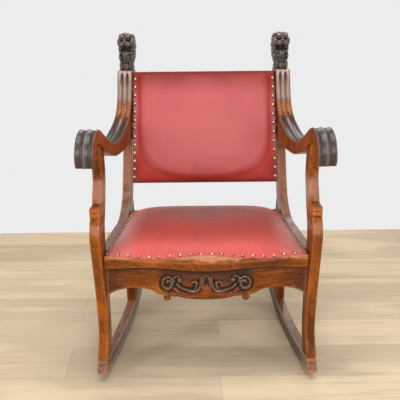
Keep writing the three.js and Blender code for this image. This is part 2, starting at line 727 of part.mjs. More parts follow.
function sideFrame(side, geometries) {
  const frame = new THREE.Group();
  const sign = side === "right" ? 1 : -1;
  frame.position.x = (sign * FRONT_SPREAD) / 2;
  frame.rotation.z = sign * SPLAY;
  frame.scale.x = sign;
  for (const [piece, geometry] of Object.entries(geometries))
    frame.add(named(side + "_" + piece, geometry, frameMaterials[piece]));
  for (const [end, place] of [["front", legFootMiddle], ["rear", rearFootMiddle]]) {
    const screw = named(side + "_" + end + "_runner_screw", screwGeometry(screwLength), STEEL);
    screw.applyMatrix4(runnerScrew(place));
    frame.add(screw);
  }
  seatScrewShares.forEach((share, i) => {
    const end = i === 0 ? "front" : "rear";
    const screw = named(side + "_" + end + "_seat_screw", screwGeometry(seatScrewLength), STEEL);
    screw.position.copy(seatScrewPlace(share));
    frame.add(screw);
  });
  return frame;
}

// Apron: a board with two arches, two small drops and a scalloped middle

const archShares = [
  [1, -0.02], [0.93, 0.5], [0.82, 0.86], [0.68, 1], [0.54, 0.82], [0.47, 0.52],
];
const SCALLOP_STEPS = 4;

function apronOutline() {
  const half = halfWidth(APRON_PLACE, 0);
  const bottom = apronTop - APRON_HEIGHT;
  const arch = edge(archShares, at(0, bottom), half, APRON_ARCH, 14);
  const dropHalf = APRON_DROP_WIDTH / 2;
  const dropMiddle = bottom + SCALLOP_DEPTH + dropHalf;
  const dropCircle = [APRON_DROP_PLACE, dropMiddle, dropHalf, dropHalf];
  const drop = new THREE.EllipseCurve(...dropCircle, 0.2, Math.PI, true);
  const scallopWidth = (2 * (APRON_DROP_PLACE - dropHalf)) / SCALLOP_COUNT;
  const scallops = [];
  for (let i = 1; i <= SCALLOP_COUNT * SCALLOP_STEPS; i++) {
    const x = APRON_DROP_PLACE - dropHalf - (i * scallopWidth) / SCALLOP_STEPS;
    const round = Math.abs(Math.sin((Math.PI * i) / SCALLOP_STEPS));
    const bow = 1 - (x / APRON_DROP_PLACE) ** 2;
    scallops.push(at(x, bottom + SCALLOP_LEVEL - SCALLOP_DEPTH * (round + bow)));
  }
  const right = [at(half, apronTop), ...arch, ...drop.getPoints(8)];
  const left = [...right].reverse().map((point) => at(-point.x, point.y));
  return [...right, ...scallops.slice(0, -1), ...left].reverse();
}

function apronGeometry() {
  const board = new THREE.ExtrudeGeometry(new THREE.Shape(apronOutline()), {
    depth: APRON_THICKNESS - EASED_EDGE,
    bevelEnabled: true,
    bevelThickness: EASED_EDGE,
    bevelSize: EASED_EDGE,
    bevelOffset: -EASED_EDGE,
    bevelSegments: 1,
  });
  board.rotateX(Math.PI / 2).translate(0, APRON_PLACE + APRON_THICKNESS - EASED_EDGE, 0);
  return withTenons(betweenFrames(solidOf(board)), apronTenon(0));
}

function withTenons(solid, tenon) {
  return geometryOf(solid.add(solidOf(tenon)).add(solidOf(tenon, mirror)));
}

function rearRailGeometry() {
  const [depth, height] = [REAR_RAIL_THICKNESS, REAR_RAIL_HEIGHT];
  const inner = halfWidth(rearRailPlace + depth / 2, REAR_LEG_THICKNESS / 2 + CLEARANCE);
  const bar = block(2 * inner, depth, height, 0, rearRailPlace, rearRailLevel);
  return withTenons(solidOf(bar), rearTenon(0));
}

// Upholstered panels, lying in their own plane: x across, y along, z out of the padded side, with the
// frame's face at z = 0. The seat's y runs from front to back, the back's from bottom to top.

// Front of the seat in plan: two waists, a bow at the centre, and corners
const SEAT_WAIST_SHARE = 0.64;

function serpentine(x, bow) {
  const share = Math.min(1, Math.abs(x) / halfWidth(0, FRAME_THICKNESS / 2));
  const wave = (from, to, part) =>
    THREE.MathUtils.lerp(from, to, (1 - Math.cos(Math.PI * part)) / 2);
  if (share < SEAT_WAIST_SHARE) return wave(bow, SEAT_FRONT_WAIST, share / SEAT_WAIST_SHARE);
  const beyond = (share - SEAT_WAIST_SHARE) / (1 - SEAT_WAIST_SHARE);
  return wave(SEAT_FRONT_WAIST, SEAT_FRONT_CORNER, beyond);
}

const seat = {
  half: (y) => halfWidth(y, FRAME_THICKNESS / 2) - SEAT_GAP,
  front: (x) => serpentine(x, SEAT_COVER_BOW),
  end: SEAT_END,
  opening: [SEAT_FRONT_BACK_EDGE, SEAT_END - SEAT_RAIL_WIDTH],
  railWidth: SEAT_RAIL_WIDTH,
  crown: SEAT_CROWN,
  fullness: 2.6,
  roundness: 0.7,
};

const back = {
  half: (y) => {
    const rearFace = y * Math.sin(BACK_RECLINE) + BACK_FRAME_THICKNESS * Math.cos(BACK_RECLINE);
    return postFace(BACK_PLACE + rearFace) - BACK_GAP;
  },
  front: () => 0,
  end: BACK_HEIGHT,
  opening: [BACK_RAIL_WIDTH, BACK_HEIGHT - BACK_RAIL_WIDTH],
  railWidth: BACK_RAIL_WIDTH,
  crown: BACK_CROWN,
  fullness: 4,
  roundness: 0.5,
};

// A point of a panel, at shares from -1 to 1 across and along it, inside a margin
function panelPoint(panel, across, along, sideMargin, endMargin) {
  const guess = across * (panel.half(panel.end / 2) - sideMargin);
  const from = panel.front(guess) + endMargin;
  const y = THREE.MathUtils.lerp(from, panel.end - endMargin, (along + 1) / 2);
  return { x: across * (panel.half(y) - sideMargin), y };
}

function swell(panel, across, along) {
  const dome = (share) => 1 - Math.abs(share) ** panel.fullness;
  return panel.crown * (dome(across) * dome(along)) ** panel.roundness;
}

const lineShares = [0, 0.2, 0.4, 0.6, 0.78, 0.9, 0.97, 1];
const stuffingLineShares = lineShares.slice(0, -2);
const burlapLineShares = [0, 0.9];

const mirrored = (shares) => [...shares.slice(1).reverse().map((share) => -share), ...shares];

function paddedGrid(panel, shares) {
  const lines = mirrored(shares);
  return lines.map((along) =>
    lines.map((across) => {
      const point = panelPoint(panel, across, along, LEATHER_BORDER, LEATHER_BORDER);
      return { ...point, swell: swell(panel, across, along) };
    }),
  );
}

// The leather's grid has one more line all round, at the outer edge of its flat, nailed border
function leatherGrid(panel) {
  const inner = paddedGrid(panel, lineShares);
  const lines = mirrored(lineShares);
  const rim = (across, along) => ({ ...panelPoint(panel, across, along, 0, 0), swell: 0 });
  const sideRim = (across, along) => {
    const point = panelPoint(panel, across, along, 0, LEATHER_BORDER);
    return { ...point, swell: 0 };
  };
  const rimRow = (along) => {
    const middle = lines.map((across) => rim(across, along));
    return [rim(-1, along), ...middle, rim(1, along)];
  };
  const rows = inner.map((row, i) => [sideRim(-1, lines[i]), ...row, sideRim(1, lines[i])]);
  return [rimRow(-1), ...rows, rimRow(1)];
}

// A closed sheet or pad over a grid, between a lower and an upper height
function slab(grid, lower, upper) {
  const rows = grid.length;
  const columns = grid[0].length;
  const positions = [lower, upper].flatMap((height) =>
    grid.flat().flatMap((point) => [point.x, point.y, height(point)]),
  );
  const id = (layer, row, column) => (layer * rows + row) * columns + column;
  const triangles = [];
  const quad = (a, b, c, d) => triangles.push(a, b, c, a, c, d);
  for (let row = 1; row < rows; row++)
    for (let column = 1; column < columns; column++) {
      const corners = [[row - 1, column - 1], [row - 1, column], [row, column], [row, column - 1]];
      const [a, b, c, d] = corners.map(([r, k]) => id(1, r, k));
      const [e, f, g, h] = corners.map(([r, k]) => id(0, r, k));
      quad(a, b, c, d);
      quad(e, h, g, f);
    }
  const rim = [];
  for (let column = 0; column < columns - 1; column++) rim.push([0, column]);
  for (let row = 0; row < rows - 1; row++) rim.push([row, columns - 1]);
  for (let column = columns - 1; column > 0; column--) rim.push([rows - 1, column]);
  for (let row = rows - 1; row > 0; row--) rim.push([row, 0]);
  rim.forEach(([row, column], i) => {
    const [nextRow, nextColumn] = rim[(i + 1) % rim.length];
    const [low, nextLow] = [id(0, row, column), id(0, nextRow, nextColumn)];
    const [high, nextHigh] = [id(1, row, column), id(1, nextRow, nextColumn)];
    quad(low, nextLow, nextHigh, high);
  });
  const geometry = new THREE.BufferGeometry();
  geometry.setAttribute("position", new THREE.Float32BufferAttribute(positions, 3));
  geometry.setIndex(triangles);
  geometry.computeVertexNormals();
  return geometry;
}

// Heights of the layers over the frame's face
const overWebbing = CLEARANCE + WEBBING;
const underBurlap = 2 * overWebbing + CLEARANCE;
const underStuffing = underBurlap + BURLAP + CLEARANCE;

function leatherGeometry(panel) {
  const under = (point) => CLEARANCE + point.swell;
  return slab(leatherGrid(panel), under, (point) => under(point) + LEATHER);
}

function stuffingGeometry(panel) {
  return slab(paddedGrid(panel, stuffingLineShares), () => underStuffing, (point) => point.swell);
}

function burlapGeometry(panel) {
  const grid = paddedGrid(panel, burlapLineShares);
  return slab(grid, () => underBurlap, () => underBurlap + BURLAP);
}

// A board of a panel's frame, from an outline in the panel's plane
function board(points, thickness, top = 0) {
  const geometry = new THREE.ExtrudeGeometry(new THREE.Shape(points), {
    depth: thickness - 2 * EASED_EDGE,
    bevelEnabled: true,
    bevelThickness: EASED_EDGE,
    bevelSize: EASED_EDGE,
    bevelOffset: -EASED_EDGE,
    bevelSegments: 1,
  });
  return geometry.translate(0, 0, top - thickness + EASED_EDGE);
}

function crossRail(panel, from, to) {
  const [lower, upper] = [panel.half(from), panel.half(to)];
  return [at(-lower, from), at(lower, from), at(upper, to), at(-upper, to)];
}

function rightStile(panel) {
  const [from, to] = [panel.opening[0] + CLEARANCE, panel.opening[1] - CLEARANCE];
  const outer = (y) => panel.half(y);
  const inner = (y) => panel.half(y) - panel.railWidth;
  return [at(inner(from), from), at(outer(from), from), at(outer(to), to), at(inner(to), to)];
}

const FRONT_RAIL_STEPS = 28;

function seatFrontRail() {
  const front = Array.from({ length: FRONT_RAIL_STEPS + 1 }, (_, i) => {
    const share = (2 * i) / FRONT_RAIL_STEPS - 1;
    const x = share * seat.half(SEAT_FRONT_CORNER);
    return at(x, serpentine(x, SEAT_FRONT_BOW));
  });
  const rear = seat.opening[0];
  return [...front, at(seat.half(rear), rear), at(-seat.half(rear), rear)];
}

// Corner blocks, glued into the corners of the seat frame below the webbing
const BLOCK_HEIGHT_SHARE = 0.7;

function cornerBlock(side, end) {
  const [front, rear] = [seat.opening[0] + CLEARANCE, seat.opening[1] - CLEARANCE];
  const corner = end === "front" ? front : rear;
  const along = end === "front" ? front + SEAT_BLOCK_LEG : rear - SEAT_BLOCK_LEG;
  const inner = (y) => seat.half(y) - seat.railWidth - CLEARANCE;
  const tip = at(inner(corner) - SEAT_BLOCK_LEG, corner);
  const points = [tip, at(inner(corner), corner), at(inner(along), along)];
  const turned = end === "front" ? points : points.reverse();
  const height = SEAT_FRAME_HEIGHT * BLOCK_HEIGHT_SHARE;
  const right = board(turned, height, height - SEAT_FRAME_HEIGHT);
  return side === "right" ? right : geometryOf(solidOf(right, mirror));
}

// Webbing: strips that pass over and under the strips that cross them
function strip(from, to, crossings, startsOver) {
  const margin = WEBBING_WIDTH / 2 + 2 * WEBBING;
  const under = [at(from, CLEARANCE)];
  crossings.forEach((place, i) => {
    const over = (i % 2 === 0) === startsOver;
    const level = over ? CLEARANCE + overWebbing : CLEARANCE;
    under.push(at(place - margin, level), at(place + margin, level));
  });
  under.push(at(to, CLEARANCE));
  const upper = under.map((point) => at(point.x, point.y + WEBBING)).reverse();
  const geometry = new THREE.ExtrudeGeometry(new THREE.Shape([...under, ...upper]), {
    depth: WEBBING_WIDTH,
    bevelEnabled: false,
  });
  return geometry.translate(0, 0, -WEBBING_WIDTH / 2);
}

// Middles of as many strips as a stretch takes at about this pitch
function evenly(from, to, pitch) {
  const count = Math.round((to - from) / pitch);
  return Array.from({ length: count }, (_, i) => from + ((2 * i + 1) * (to - from)) / (2 * count));
}

function webbing(name, panel, stripPitch, crossPitch) {
  const [from, to] = panel.opening;
  const inner = panel.half(to) - panel.railWidth;
  const columns = evenly(-inner, inner, stripPitch);
  const rows = evenly(from, to, crossPitch);
  const meshes = columns.map((x, i) => {
    const start = from - WEBBING_LAP;
    const geometry = strip(start, to + WEBBING_LAP, rows, i % 2 === 0);
    geometry.applyMatrix4(sawnPlane).translate(x, 0, 0);
    return named(name + "_webbing_long_" + (i + 1), geometry, JUTE);
  });
  rows.forEach((y, k) => {
    const reach = panel.half(y + WEBBING_WIDTH) - panel.railWidth + WEBBING_LAP;
    const geometry = strip(-reach, reach, columns, k % 2 === 1);
    geometry.rotateX(Math.PI / 2).translate(0, y, 0);
    meshes.push(named(name + "_webbing_cross_" + (k + 1), geometry, JUTE));
  });
  return meshes;
}

function seatGroup() {
  const group = new THREE.Group();
  group.position.z = SEAT_LEVEL;
  const seatPlace = new THREE.Matrix4().makeTranslation(0, 0, -SEAT_LEVEL);
  const railRight = seatScrewShares.reduce((solid, share) => {
    const place = new THREE.Matrix4().setPosition(seatScrewPlace(share));
    place.premultiply(rightPlace).premultiply(seatPlace);
    return solid.subtract(solidOf(screwHole(seatScrewLength + CLEARANCE), place));
  }, solidOf(board(rightStile(seat), SEAT_FRAME_HEIGHT)));
  const rear = crossRail(seat, seat.opening[1], seat.end);
  const rightGeometry = geometryOf(railRight);
  group.add(
    named("seat_front_rail", board(seatFrontRail(), SEAT_FRAME_HEIGHT), OAK),
    named("seat_rear_rail", board(rear, SEAT_FRAME_HEIGHT), RAW_WOOD),
    named("seat_right_rail", rightGeometry, RAW_WOOD),
    named("seat_left_rail", geometryOf(solidOf(rightGeometry, mirror)), RAW_WOOD),
    named("seat_burlap", burlapGeometry(seat), JUTE),
    named("seat_stuffing", stuffingGeometry(seat), COTTON),
    named("seat_leather", leatherGeometry(seat), LEATHER_RED),
    ...webbing("seat", seat, SEAT_STRIP_PITCH, SEAT_CROSS_PITCH),
  );
  for (const side of ["left", "right"])
    for (const end of ["front", "rear"])
      group.add(named("seat_block_" + side + "_" + end, cornerBlock(side, end), RAW_WOOD));
  return group;
}

function backGroup() {
  const group = new THREE.Group();
  group.applyMatrix4(backPlace);
  const toBack = backPlace.clone().invert();
  const right = dowelHeights.reduce(
    (solid, height) => solid.subtract(solidOf(dowel(height, CLEARANCE), toBack)),
    solidOf(board(rightStile(back), BACK_FRAME_THICKNESS)),
  );
  const rightGeometry = geometryOf(right);
  const coverTop = -BACK_FRAME_THICKNESS - CLEARANCE;
  const cover = new THREE.ExtrudeGeometry(new THREE.Shape(crossRail(back, 0, back.end)), {
    depth: LEATHER,
    bevelEnabled: false,
  }).translate(0, 0, coverTop - LEATHER);
  const bottomRail = crossRail(back, 0, back.opening[0]);
  const topRail = crossRail(back, back.opening[1], back.end);
  group.add(
    named("back_bottom_rail", board(bottomRail, BACK_FRAME_THICKNESS), RAW_WOOD),
    named("back_top_rail", board(topRail, BACK_FRAME_THICKNESS), RAW_WOOD),
    named("back_right_stile", rightGeometry, RAW_WOOD),
    named("back_left_stile", geometryOf(solidOf(rightGeometry, mirror)), RAW_WOOD),
    named("back_burlap", burlapGeometry(back), JUTE),
    named("back_stuffing", stuffingGeometry(back), COTTON),
    named("back_leather", leatherGeometry(back), LEATHER_RED),
    named("back_rear_leather", cover, LEATHER_RED),
    ...webbing("back", back, BACK_STRIP_PITCH, BACK_CROSS_PITCH),
  );
  return group;
}

function dowels() {
  return dowelHeights.flatMap((height, i) => {
    const end = i === 0 ? "lower" : "upper";
    const right = dowel(height, 0);
    return [
      named("right_" + end + "_dowel", right, RAW_WOOD),
      named("left_" + end + "_dowel", geometryOf(solidOf(right, mirror)), RAW_WOOD),
    ];
  });
}

// The whole chair

const solids = sideFrameSolids();
const geometries = Object.fromEntries(
  Object.entries(solids).map(([piece, solid]) => [piece, geometryOf(solid)]),
);

const frames = new THREE.Group();
frames.add(
  sideFrame("left", geometries),
  sideFrame("right", geometries),
  named("apron", apronGeometry(), OAK),
  named("rear_rail", rearRailGeometry(), DARK_OAK),
  seatGroup(),
  backGroup(),
  ...dowels(),
);

// The origin is on the floor, below the middle of the chair's length and width
const outline = new THREE.Box3().setFromObject(frames);
frames.position.y = -(outline.min.y + outline.max.y) / 2;

const chair = new THREE.Group();
chair.add(frames);

export default chair;
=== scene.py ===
# %% [markdown]
# # A carved oak rocking chair in Blender
# The chair is an old parlour rocker: two side frames sawn from oak planks stand on curved runners, and a
# padded red leather seat and back hang between them. The wood is already modelled as solids. This lesson
# dresses those solids: it gives every piece its finish, carves what a plain solid leaves out, and makes
# the soft leather as leather. We work in metres, with +Z up, and the chair faces -Y.

# %% Load the solids
import math

import bmesh
import bpy
import numpy as np
from mathutils import Matrix, Vector


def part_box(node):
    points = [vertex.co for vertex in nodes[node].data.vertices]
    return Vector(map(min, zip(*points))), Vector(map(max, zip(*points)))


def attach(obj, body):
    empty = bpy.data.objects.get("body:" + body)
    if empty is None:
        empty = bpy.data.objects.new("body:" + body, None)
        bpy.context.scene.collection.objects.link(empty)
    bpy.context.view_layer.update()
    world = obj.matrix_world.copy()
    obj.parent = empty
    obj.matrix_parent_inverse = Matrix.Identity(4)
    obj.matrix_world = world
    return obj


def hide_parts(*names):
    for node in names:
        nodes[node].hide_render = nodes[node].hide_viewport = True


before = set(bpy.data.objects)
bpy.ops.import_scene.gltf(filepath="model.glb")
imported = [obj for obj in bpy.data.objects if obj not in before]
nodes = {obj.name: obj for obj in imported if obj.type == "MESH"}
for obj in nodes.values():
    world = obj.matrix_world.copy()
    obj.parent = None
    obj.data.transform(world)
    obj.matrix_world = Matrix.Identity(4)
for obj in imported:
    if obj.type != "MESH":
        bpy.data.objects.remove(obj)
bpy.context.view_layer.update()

# %% [markdown]
# ## Helpers
# A few small steps come back all the time. A thing is put into the scene, a mesh is written from its faces,
# and a value is kept on the points of a mesh.

# %% Helpers for things and meshes
def placed(name, data):
    thing = bpy.data.objects.new(name, data)
    bpy.context.collection.objects.link(thing)
    return thing


def written(form, mesh):
    form.to_mesh(mesh)
    form.free()
    return mesh


def mesh_of(name, points, faces, turn_out=True):
    """A mesh of the given faces, without the points that no face uses."""
    form = bmesh.new()
    corners = [form.verts.new(p) for p in points]
    for face in faces:
        form.faces.new([corners[k] for k in face])
    bmesh.ops.delete(form, geom=[v for v in form.verts if not v.link_faces], context="VERTS")
    if turn_out:
        bmesh.ops.recalc_face_normals(form, faces=form.faces)
    return written(form, bpy.data.meshes.new(name))


def write_attribute(mesh, name, values):
    attribute = mesh.attributes.get(name) or mesh.attributes.new(name, "FLOAT", "POINT")
    attribute.data.foreach_set("value", np.clip(values, 0, 1).astype(np.float32))


def read_attribute(mesh, name):
    values = np.empty(len(mesh.vertices), dtype=np.float32)
    mesh.attributes[name].data.foreach_get("value", values)
    return values


def ramp(values, low, high):
    """0 below low, 1 above high, and a smooth rise between."""
    share = np.clip((values - low) / (high - low), 0, 1)
    return share * share * (3 - 2 * share)


print("helpers for meshes ready")

# %% [markdown]
# ## Helpers for finishes
# Every finish on this chair is a small tree of shader nodes. Adding a node, setting its numbers and
# linking its inputs are the same three steps each time, so one helper does them. A value that is itself a
# socket is linked, and anything else is written on the input.

# %% Helpers for nodes
def write(tree, node, inputs):
    for key, value in inputs.items():
        if isinstance(value, bpy.types.NodeSocket):
            tree.links.new(value, node.inputs[key])
        else:
            node.inputs[key].default_value = value


def add(tree, kind, inputs=None, **settings):
    node = tree.nodes.new(kind)
    for name, value in settings.items():
        setattr(node, name, value)
    write(tree, node, inputs or {})
    return node


def arithmetic(tree, operation, first, second=0.0):
    return add(tree, "ShaderNodeMath", {0: first, 1: second}, operation=operation).outputs[0]


def times(tree, first, second):
    return arithmetic(tree, "MULTIPLY", first, second)


def vector(tree, operation, first, second):
    return add(tree, "ShaderNodeVectorMath", {0: first, 1: second}, operation=operation).outputs[0]


def length(tree, value):
    return add(tree, "ShaderNodeVectorMath", {0: value}, operation="LENGTH").outputs["Value"]


def noise(tree, place, scale, detail=3.0, roughness=0.5):
    inputs = {"Vector": place, "Scale": scale, "Detail": detail, "Roughness": roughness}
    return add(tree, "ShaderNodeTexNoise", inputs).outputs["Fac"]


def fibres(tree, place, scale, detail=2.0, roughness=0.5):
    """A noise with its own scale along each axis."""
    return noise(tree, vector(tree, "MULTIPLY", place, scale), 1.0, detail, roughness)


def between(tree, value, low, high, start=0.0, end=1.0):
    inputs = {"Value": value, "From Min": low, "From Max": high, "To Min": start, "To Max": end}
    return add(tree, "ShaderNodeMapRange", inputs, interpolation_type="SMOOTHSTEP").outputs["Result"]


def blended(tree, share, first, second):
    colours = [value if isinstance(value, bpy.types.NodeSocket) else (*value, 1) for value in (first, second)]
    return add(tree, "ShaderNodeMix", {0: share, 6: colours[0], 7: colours[1]}, data_type="RGBA").outputs[2]


def attribute(tree, name, output="Fac"):
    return add(tree, "ShaderNodeAttribute", attribute_name=name).outputs[output]


def object_place(tree, turn=(0, 0, 0), move=(0, 0, 0)):
    inputs = {"Vector": add(tree, "ShaderNodeTexCoord").outputs["Object"], "Rotation": turn, "Location": move}
    return add(tree, "ShaderNodeMapping", inputs, vector_type="POINT").outputs[0]


def bump(tree, height, distance):
    return add(tree, "ShaderNodeBump", {"Height": height, "Distance": distance, "Strength": 1.0}).outputs[0]


def new_finish(name):
    material = bpy.data.materials.new(name)
    material.use_nodes = True
    return material, material.node_tree, material.node_tree.nodes["Principled BSDF"]


def darker(colour, share):
    return tuple(v * share for v in colour)


print("helpers for nodes ready")

# %% [markdown]
# ## The camera
# The photograph looks down at the chair from a standing person's chest, a little over two metres away. A
# camera is easiest to copy with the numbers a photographer would note: place, pitch, roll and focal length.
# From them we build its axes ourselves, because a roll after a pitch is hard to read from Euler angles.

# %% Camera
CAMERA_PLACE = Vector((-0.0157, -2.3563, 1.2014))
CAMERA_PITCH = math.radians(17.61)
CAMERA_ROLL = math.radians(0.58)
FOCAL_LENGTH = 73.44
SENSOR_WIDTH = 36


def axes_of(pitch, roll):
    forward = Vector((0, math.cos(pitch), -math.sin(pitch)))
    up = Vector((0, math.sin(pitch), math.cos(pitch)))
    side = Vector((1, 0, 0))
    right = side * math.cos(roll) - up * math.sin(roll)
    top = side * math.sin(roll) + up * math.cos(roll)
    return Matrix((right, top, -forward)).transposed()


camera = placed("camera", bpy.data.cameras.new("camera"))
camera.data.lens = FOCAL_LENGTH
camera.data.sensor_width = SENSOR_WIDTH
camera.matrix_world = Matrix.Translation(CAMERA_PLACE) @ axes_of(CAMERA_PITCH, CAMERA_ROLL).to_4x4()
bpy.context.scene.camera = camera
bpy.context.scene.view_settings.view_transform = "Standard"
print("camera", FOCAL_LENGTH, "mm at", [round(v, 2) for v in CAMERA_PLACE])

# %% [markdown]
# ## A plain studio
# A pale floor catches the shadow, and a paler sheet behind it stands for the wall. Both lie flat, so that no
# wall gets in the way when the chair is looked at from behind. The world gives an even light. Of the five
# soft lamps, the two tall ones stand for windows and give the leather and the varnish their sheen.

# %% Floor and lamps
WALL_PLACE = 0.98
STAGE_REACH = 30
FLOOR_COLOUR = (0.62, 0.49, 0.33)
WALL_COLOUR = (0.84, 0.84, 0.84)
WORLD_LIGHT = 0.32
WORLD_SEEN = 0.84
LAMP_AIM = Vector((0, 0, 0.45))
# Name, place, size, power and, for a tall lamp, its height
LAMPS = [("above", (0.0, -0.5, 3.3), 2.0, 58, None), ("front", (0.15, -3.3, 1.95), 1.2, 50, None),
         ("left_window", (-2.3, -2.2, 1.5), 0.55, 34, 2.4), ("right_window", (2.5, -2.2, 1.5), 0.55, 26, 2.4),
         ("rear", (0.4, 2.9, 2.6), 2.0, 34, None)]


def flat_sheet(name, front, rear, colour):
    mesh = bpy.data.meshes.new(name)
    corners = [(side * STAGE_REACH, y, 0) for side, y in ((-1, front), (1, front), (1, rear), (-1, rear))]
    mesh.from_pydata(corners, [], [(0, 1, 2, 3)])
    material, tree, shader = new_finish(name)
    write(tree, shader, {"Base Color": (*colour, 1), "Roughness": 0.7, "Specular IOR Level": 0.2})
    mesh.materials.append(material)
    sheet = placed(name, mesh)
    return tree


def mix_glow(tree, share, glow):
    """Lets a share of the surface shine by itself."""
    surface = tree.nodes["Principled BSDF"].outputs[0]
    mixed = add(tree, "ShaderNodeMixShader", {0: share, 1: surface, 2: glow}).outputs[0]
    write(tree, tree.nodes["Material Output"], {"Surface": mixed})


def show_bright(tree, colour):
    """What looks at the sheet, straight or in a gloss, sees its plain colour, whatever light falls on it."""
    rays = add(tree, "ShaderNodeLightPath").outputs
    seen = rays["Is Camera Ray"]
    for name in ("Is Glossy Ray", "Is Transmission Ray"):
        seen = arithmetic(tree, "MAXIMUM", seen, rays[name])
    mix_glow(tree, seen, add(tree, "ShaderNodeEmission", {"Color": (*colour, 1)}).outputs[0])


floor_tree = flat_sheet("floor", -STAGE_REACH, WALL_PLACE, FLOOR_COLOUR)
wall_tree = flat_sheet("wall", WALL_PLACE, STAGE_REACH, WALL_COLOUR)
show_bright(wall_tree, WALL_COLOUR)
for name, place, size, power, height in LAMPS:
    data = bpy.data.lights.new(name, "AREA")
    data.shape = "RECTANGLE" if height else "DISK"
    data.size, data.energy = size, power
    if height:
        data.size_y = height
    turned = (LAMP_AIM - Vector(place)).to_track_quat("-Z", "Y").to_matrix().to_4x4()
    placed(name, data).matrix_world = Matrix.Translation(place) @ turned
world = bpy.data.worlds.new("studio")
bpy.context.scene.world = world
world.use_nodes = True
seen = add(world.node_tree, "ShaderNodeLightPath").outputs["Is Camera Ray"]
inputs = {"Value": seen, "To Min": WORLD_LIGHT, "To Max": WORLD_SEEN}
strength = add(world.node_tree, "ShaderNodeMapRange", inputs).outputs[0]
write(world.node_tree, world.node_tree.nodes["Background"], {"Color": (1, 1, 1, 1), "Strength": strength})
print("lamps:", [lamp[0] for lamp in LAMPS])

# %% [markdown]
# ## Boards on the floor
# The pale floor is laid in boards, 181 mm wide, that run across the picture. A brick texture gives the boards
# and their joints, and each board is a little lighter or darker than the next.

# %% Floor boards
BOARD_WIDTH = 0.181
BOARD_LENGTH = 1.22
FIRST_JOINT = (0.04, 0.105)
JOINT_WIDTH = 0.0009
BOARD_LIGHT, BOARD_DEEP, JOINT_SHADE, GRAIN_SHADE, CLOUD_LIGHT = 1.10, 0.86, 0.6, 0.66, 1.28
FAR_FLOOR = (1.6, 3.2)


def lay_boards(tree, colour):
    # The texture has no bricks at negative places, so it starts some boards further out
    place = object_place(tree, move=(8 * BOARD_LENGTH - FIRST_JOINT[0], 80 * BOARD_WIDTH - FIRST_JOINT[1], 0))
    inputs = {"Vector": place, "Mortar Size": JOINT_WIDTH, "Mortar Smooth": 0.4, "Scale": 1.0, "Bias": -0.1,
              "Brick Width": BOARD_LENGTH, "Row Height": BOARD_WIDTH}
    for key, share in (("Color1", BOARD_LIGHT), ("Color2", BOARD_DEEP), ("Mortar", JOINT_SHADE)):
        inputs[key] = (*darker(colour, share), 1)
    laid = add(tree, "ShaderNodeTexBrick", inputs, offset=0.37).outputs["Color"]
    grain = fibres(tree, place, (3.0, 75, 1), 4.0, 0.62)
    cloud = fibres(tree, place, (2.2, 9, 1), 3.0)
    laid = blended(tree, between(tree, grain, 0.48, 0.72, 0, 0.6), laid, darker(colour, GRAIN_SHADE))
    laid = blended(tree, between(tree, cloud, 0.45, 0.68, 0, 0.6), laid, darker(colour, CLOUD_LIGHT))
    write(tree, tree.nodes["Principled BSDF"], {"Base Color": laid})
    seen = add(tree, "ShaderNodeLightPath").outputs["Is Camera Ray"]
    share = times(tree, between(tree, length(tree, object_place(tree)), *FAR_FLOOR), seen)
    mix_glow(tree, share, add(tree, "ShaderNodeEmission", {"Color": laid, "Strength": 1.05}).outputs[0])


lay_boards(floor_tree, FLOOR_COLOUR)
print("boards laid")

# %% [markdown]
# ## Old varnished oak
# Quarter-sawn oak shows four things at once: straight year rings, long dark pores, pale flecks that cross
# the grain, and a stain that has gone dark in the hollows and thin on the edges. Each is one noise, stretched
# along the grain. The grain runs along the local Z of a turned copy of the Object coordinates, so every
# plank gets the direction in which it was sawn. Belts of another colour lie at given heights: the pale belts
# above and below the legs' collar, and both belts on the side rails, are painted highlight. Worked pieces
# carry three vertex attributes. The first, "hollow", is dark in the cuts, with dirt and painted shade, and
# paints the shade in the lion's open mouth and under its chin. The second is pale on the edges that hands
# have rubbed, and on black wood it paints a grey sheen. The third is where the wood is black: stain, and
# painted shade on the runners' inner faces and along the apron's top under the seat's front rail.

# %% Oak finish
# The black of the stain; the same colour paints shade on the runners' inner faces and along the apron's top
BLACK_STAIN_AND_SHADE = (0.034, 0.021, 0.018)
# Dark of the cuts: dirt, and painted shade in recesses such as the lion's mouth and under its chin
CUT_DIRT_AND_SHADE = (0.016, 0.008, 0.005)
# A grey that paints the varnish's sheen on the raised parts of black wood
PAINTED_SHEEN = (0.60, 0.44, 0.385)
SPLAY = math.radians(6.84)
UP, BACK_TURN, ACROSS = (0, 0, 0), (math.radians(90), 0, 0), (0, math.radians(90), 0)
FLECK_LEAN = (0.5, 0.35, 0)
# The tone, the dark of the rings and the pale of the worn edges
OAK = ((0.235, 0.052, 0.0055), (0.055, 0.010, 0.0015), (0.52, 0.150, 0.018))
DEEP_OAK = ((0.25, 0.082, 0.030), (0.070, 0.022, 0.010), (0.44, 0.19, 0.090))
RUNNER_OAK = ((0.31, 0.135, 0.075), *DEEP_OAK[1:])
HEAD_OAK = ((0.040, 0.024, 0.018), (0.014, 0.008, 0.006), (0.13, 0.075, 0.055))
# Belts of another colour: height of the middle, reach, share and colour
# The pale belts above and below the legs' collar are a painted highlight of the varnish; the collar is orange
# and the foot scuffed
LEG_HIGHLIGHT = (0.46, 0.25, 0.17)
LEG_ZONES = [(0.560, 0.040, 0.66, LEG_HIGHLIGHT), (0.462, 0.018, 0.50, LEG_HIGHLIGHT),
             (0.505, 0.015, 0.60, (0.60, 0.20, 0.035)), (0.028, 0.030, 1.0, (0.46, 0.345, 0.295))]
TOE_ZONES = [(0.010, 0.026, 1.0, (0.50, 0.385, 0.34))]
LEDGE_ZONES = [(0.376, 0.011, 0.75, (0.62, 0.27, 0.14))]
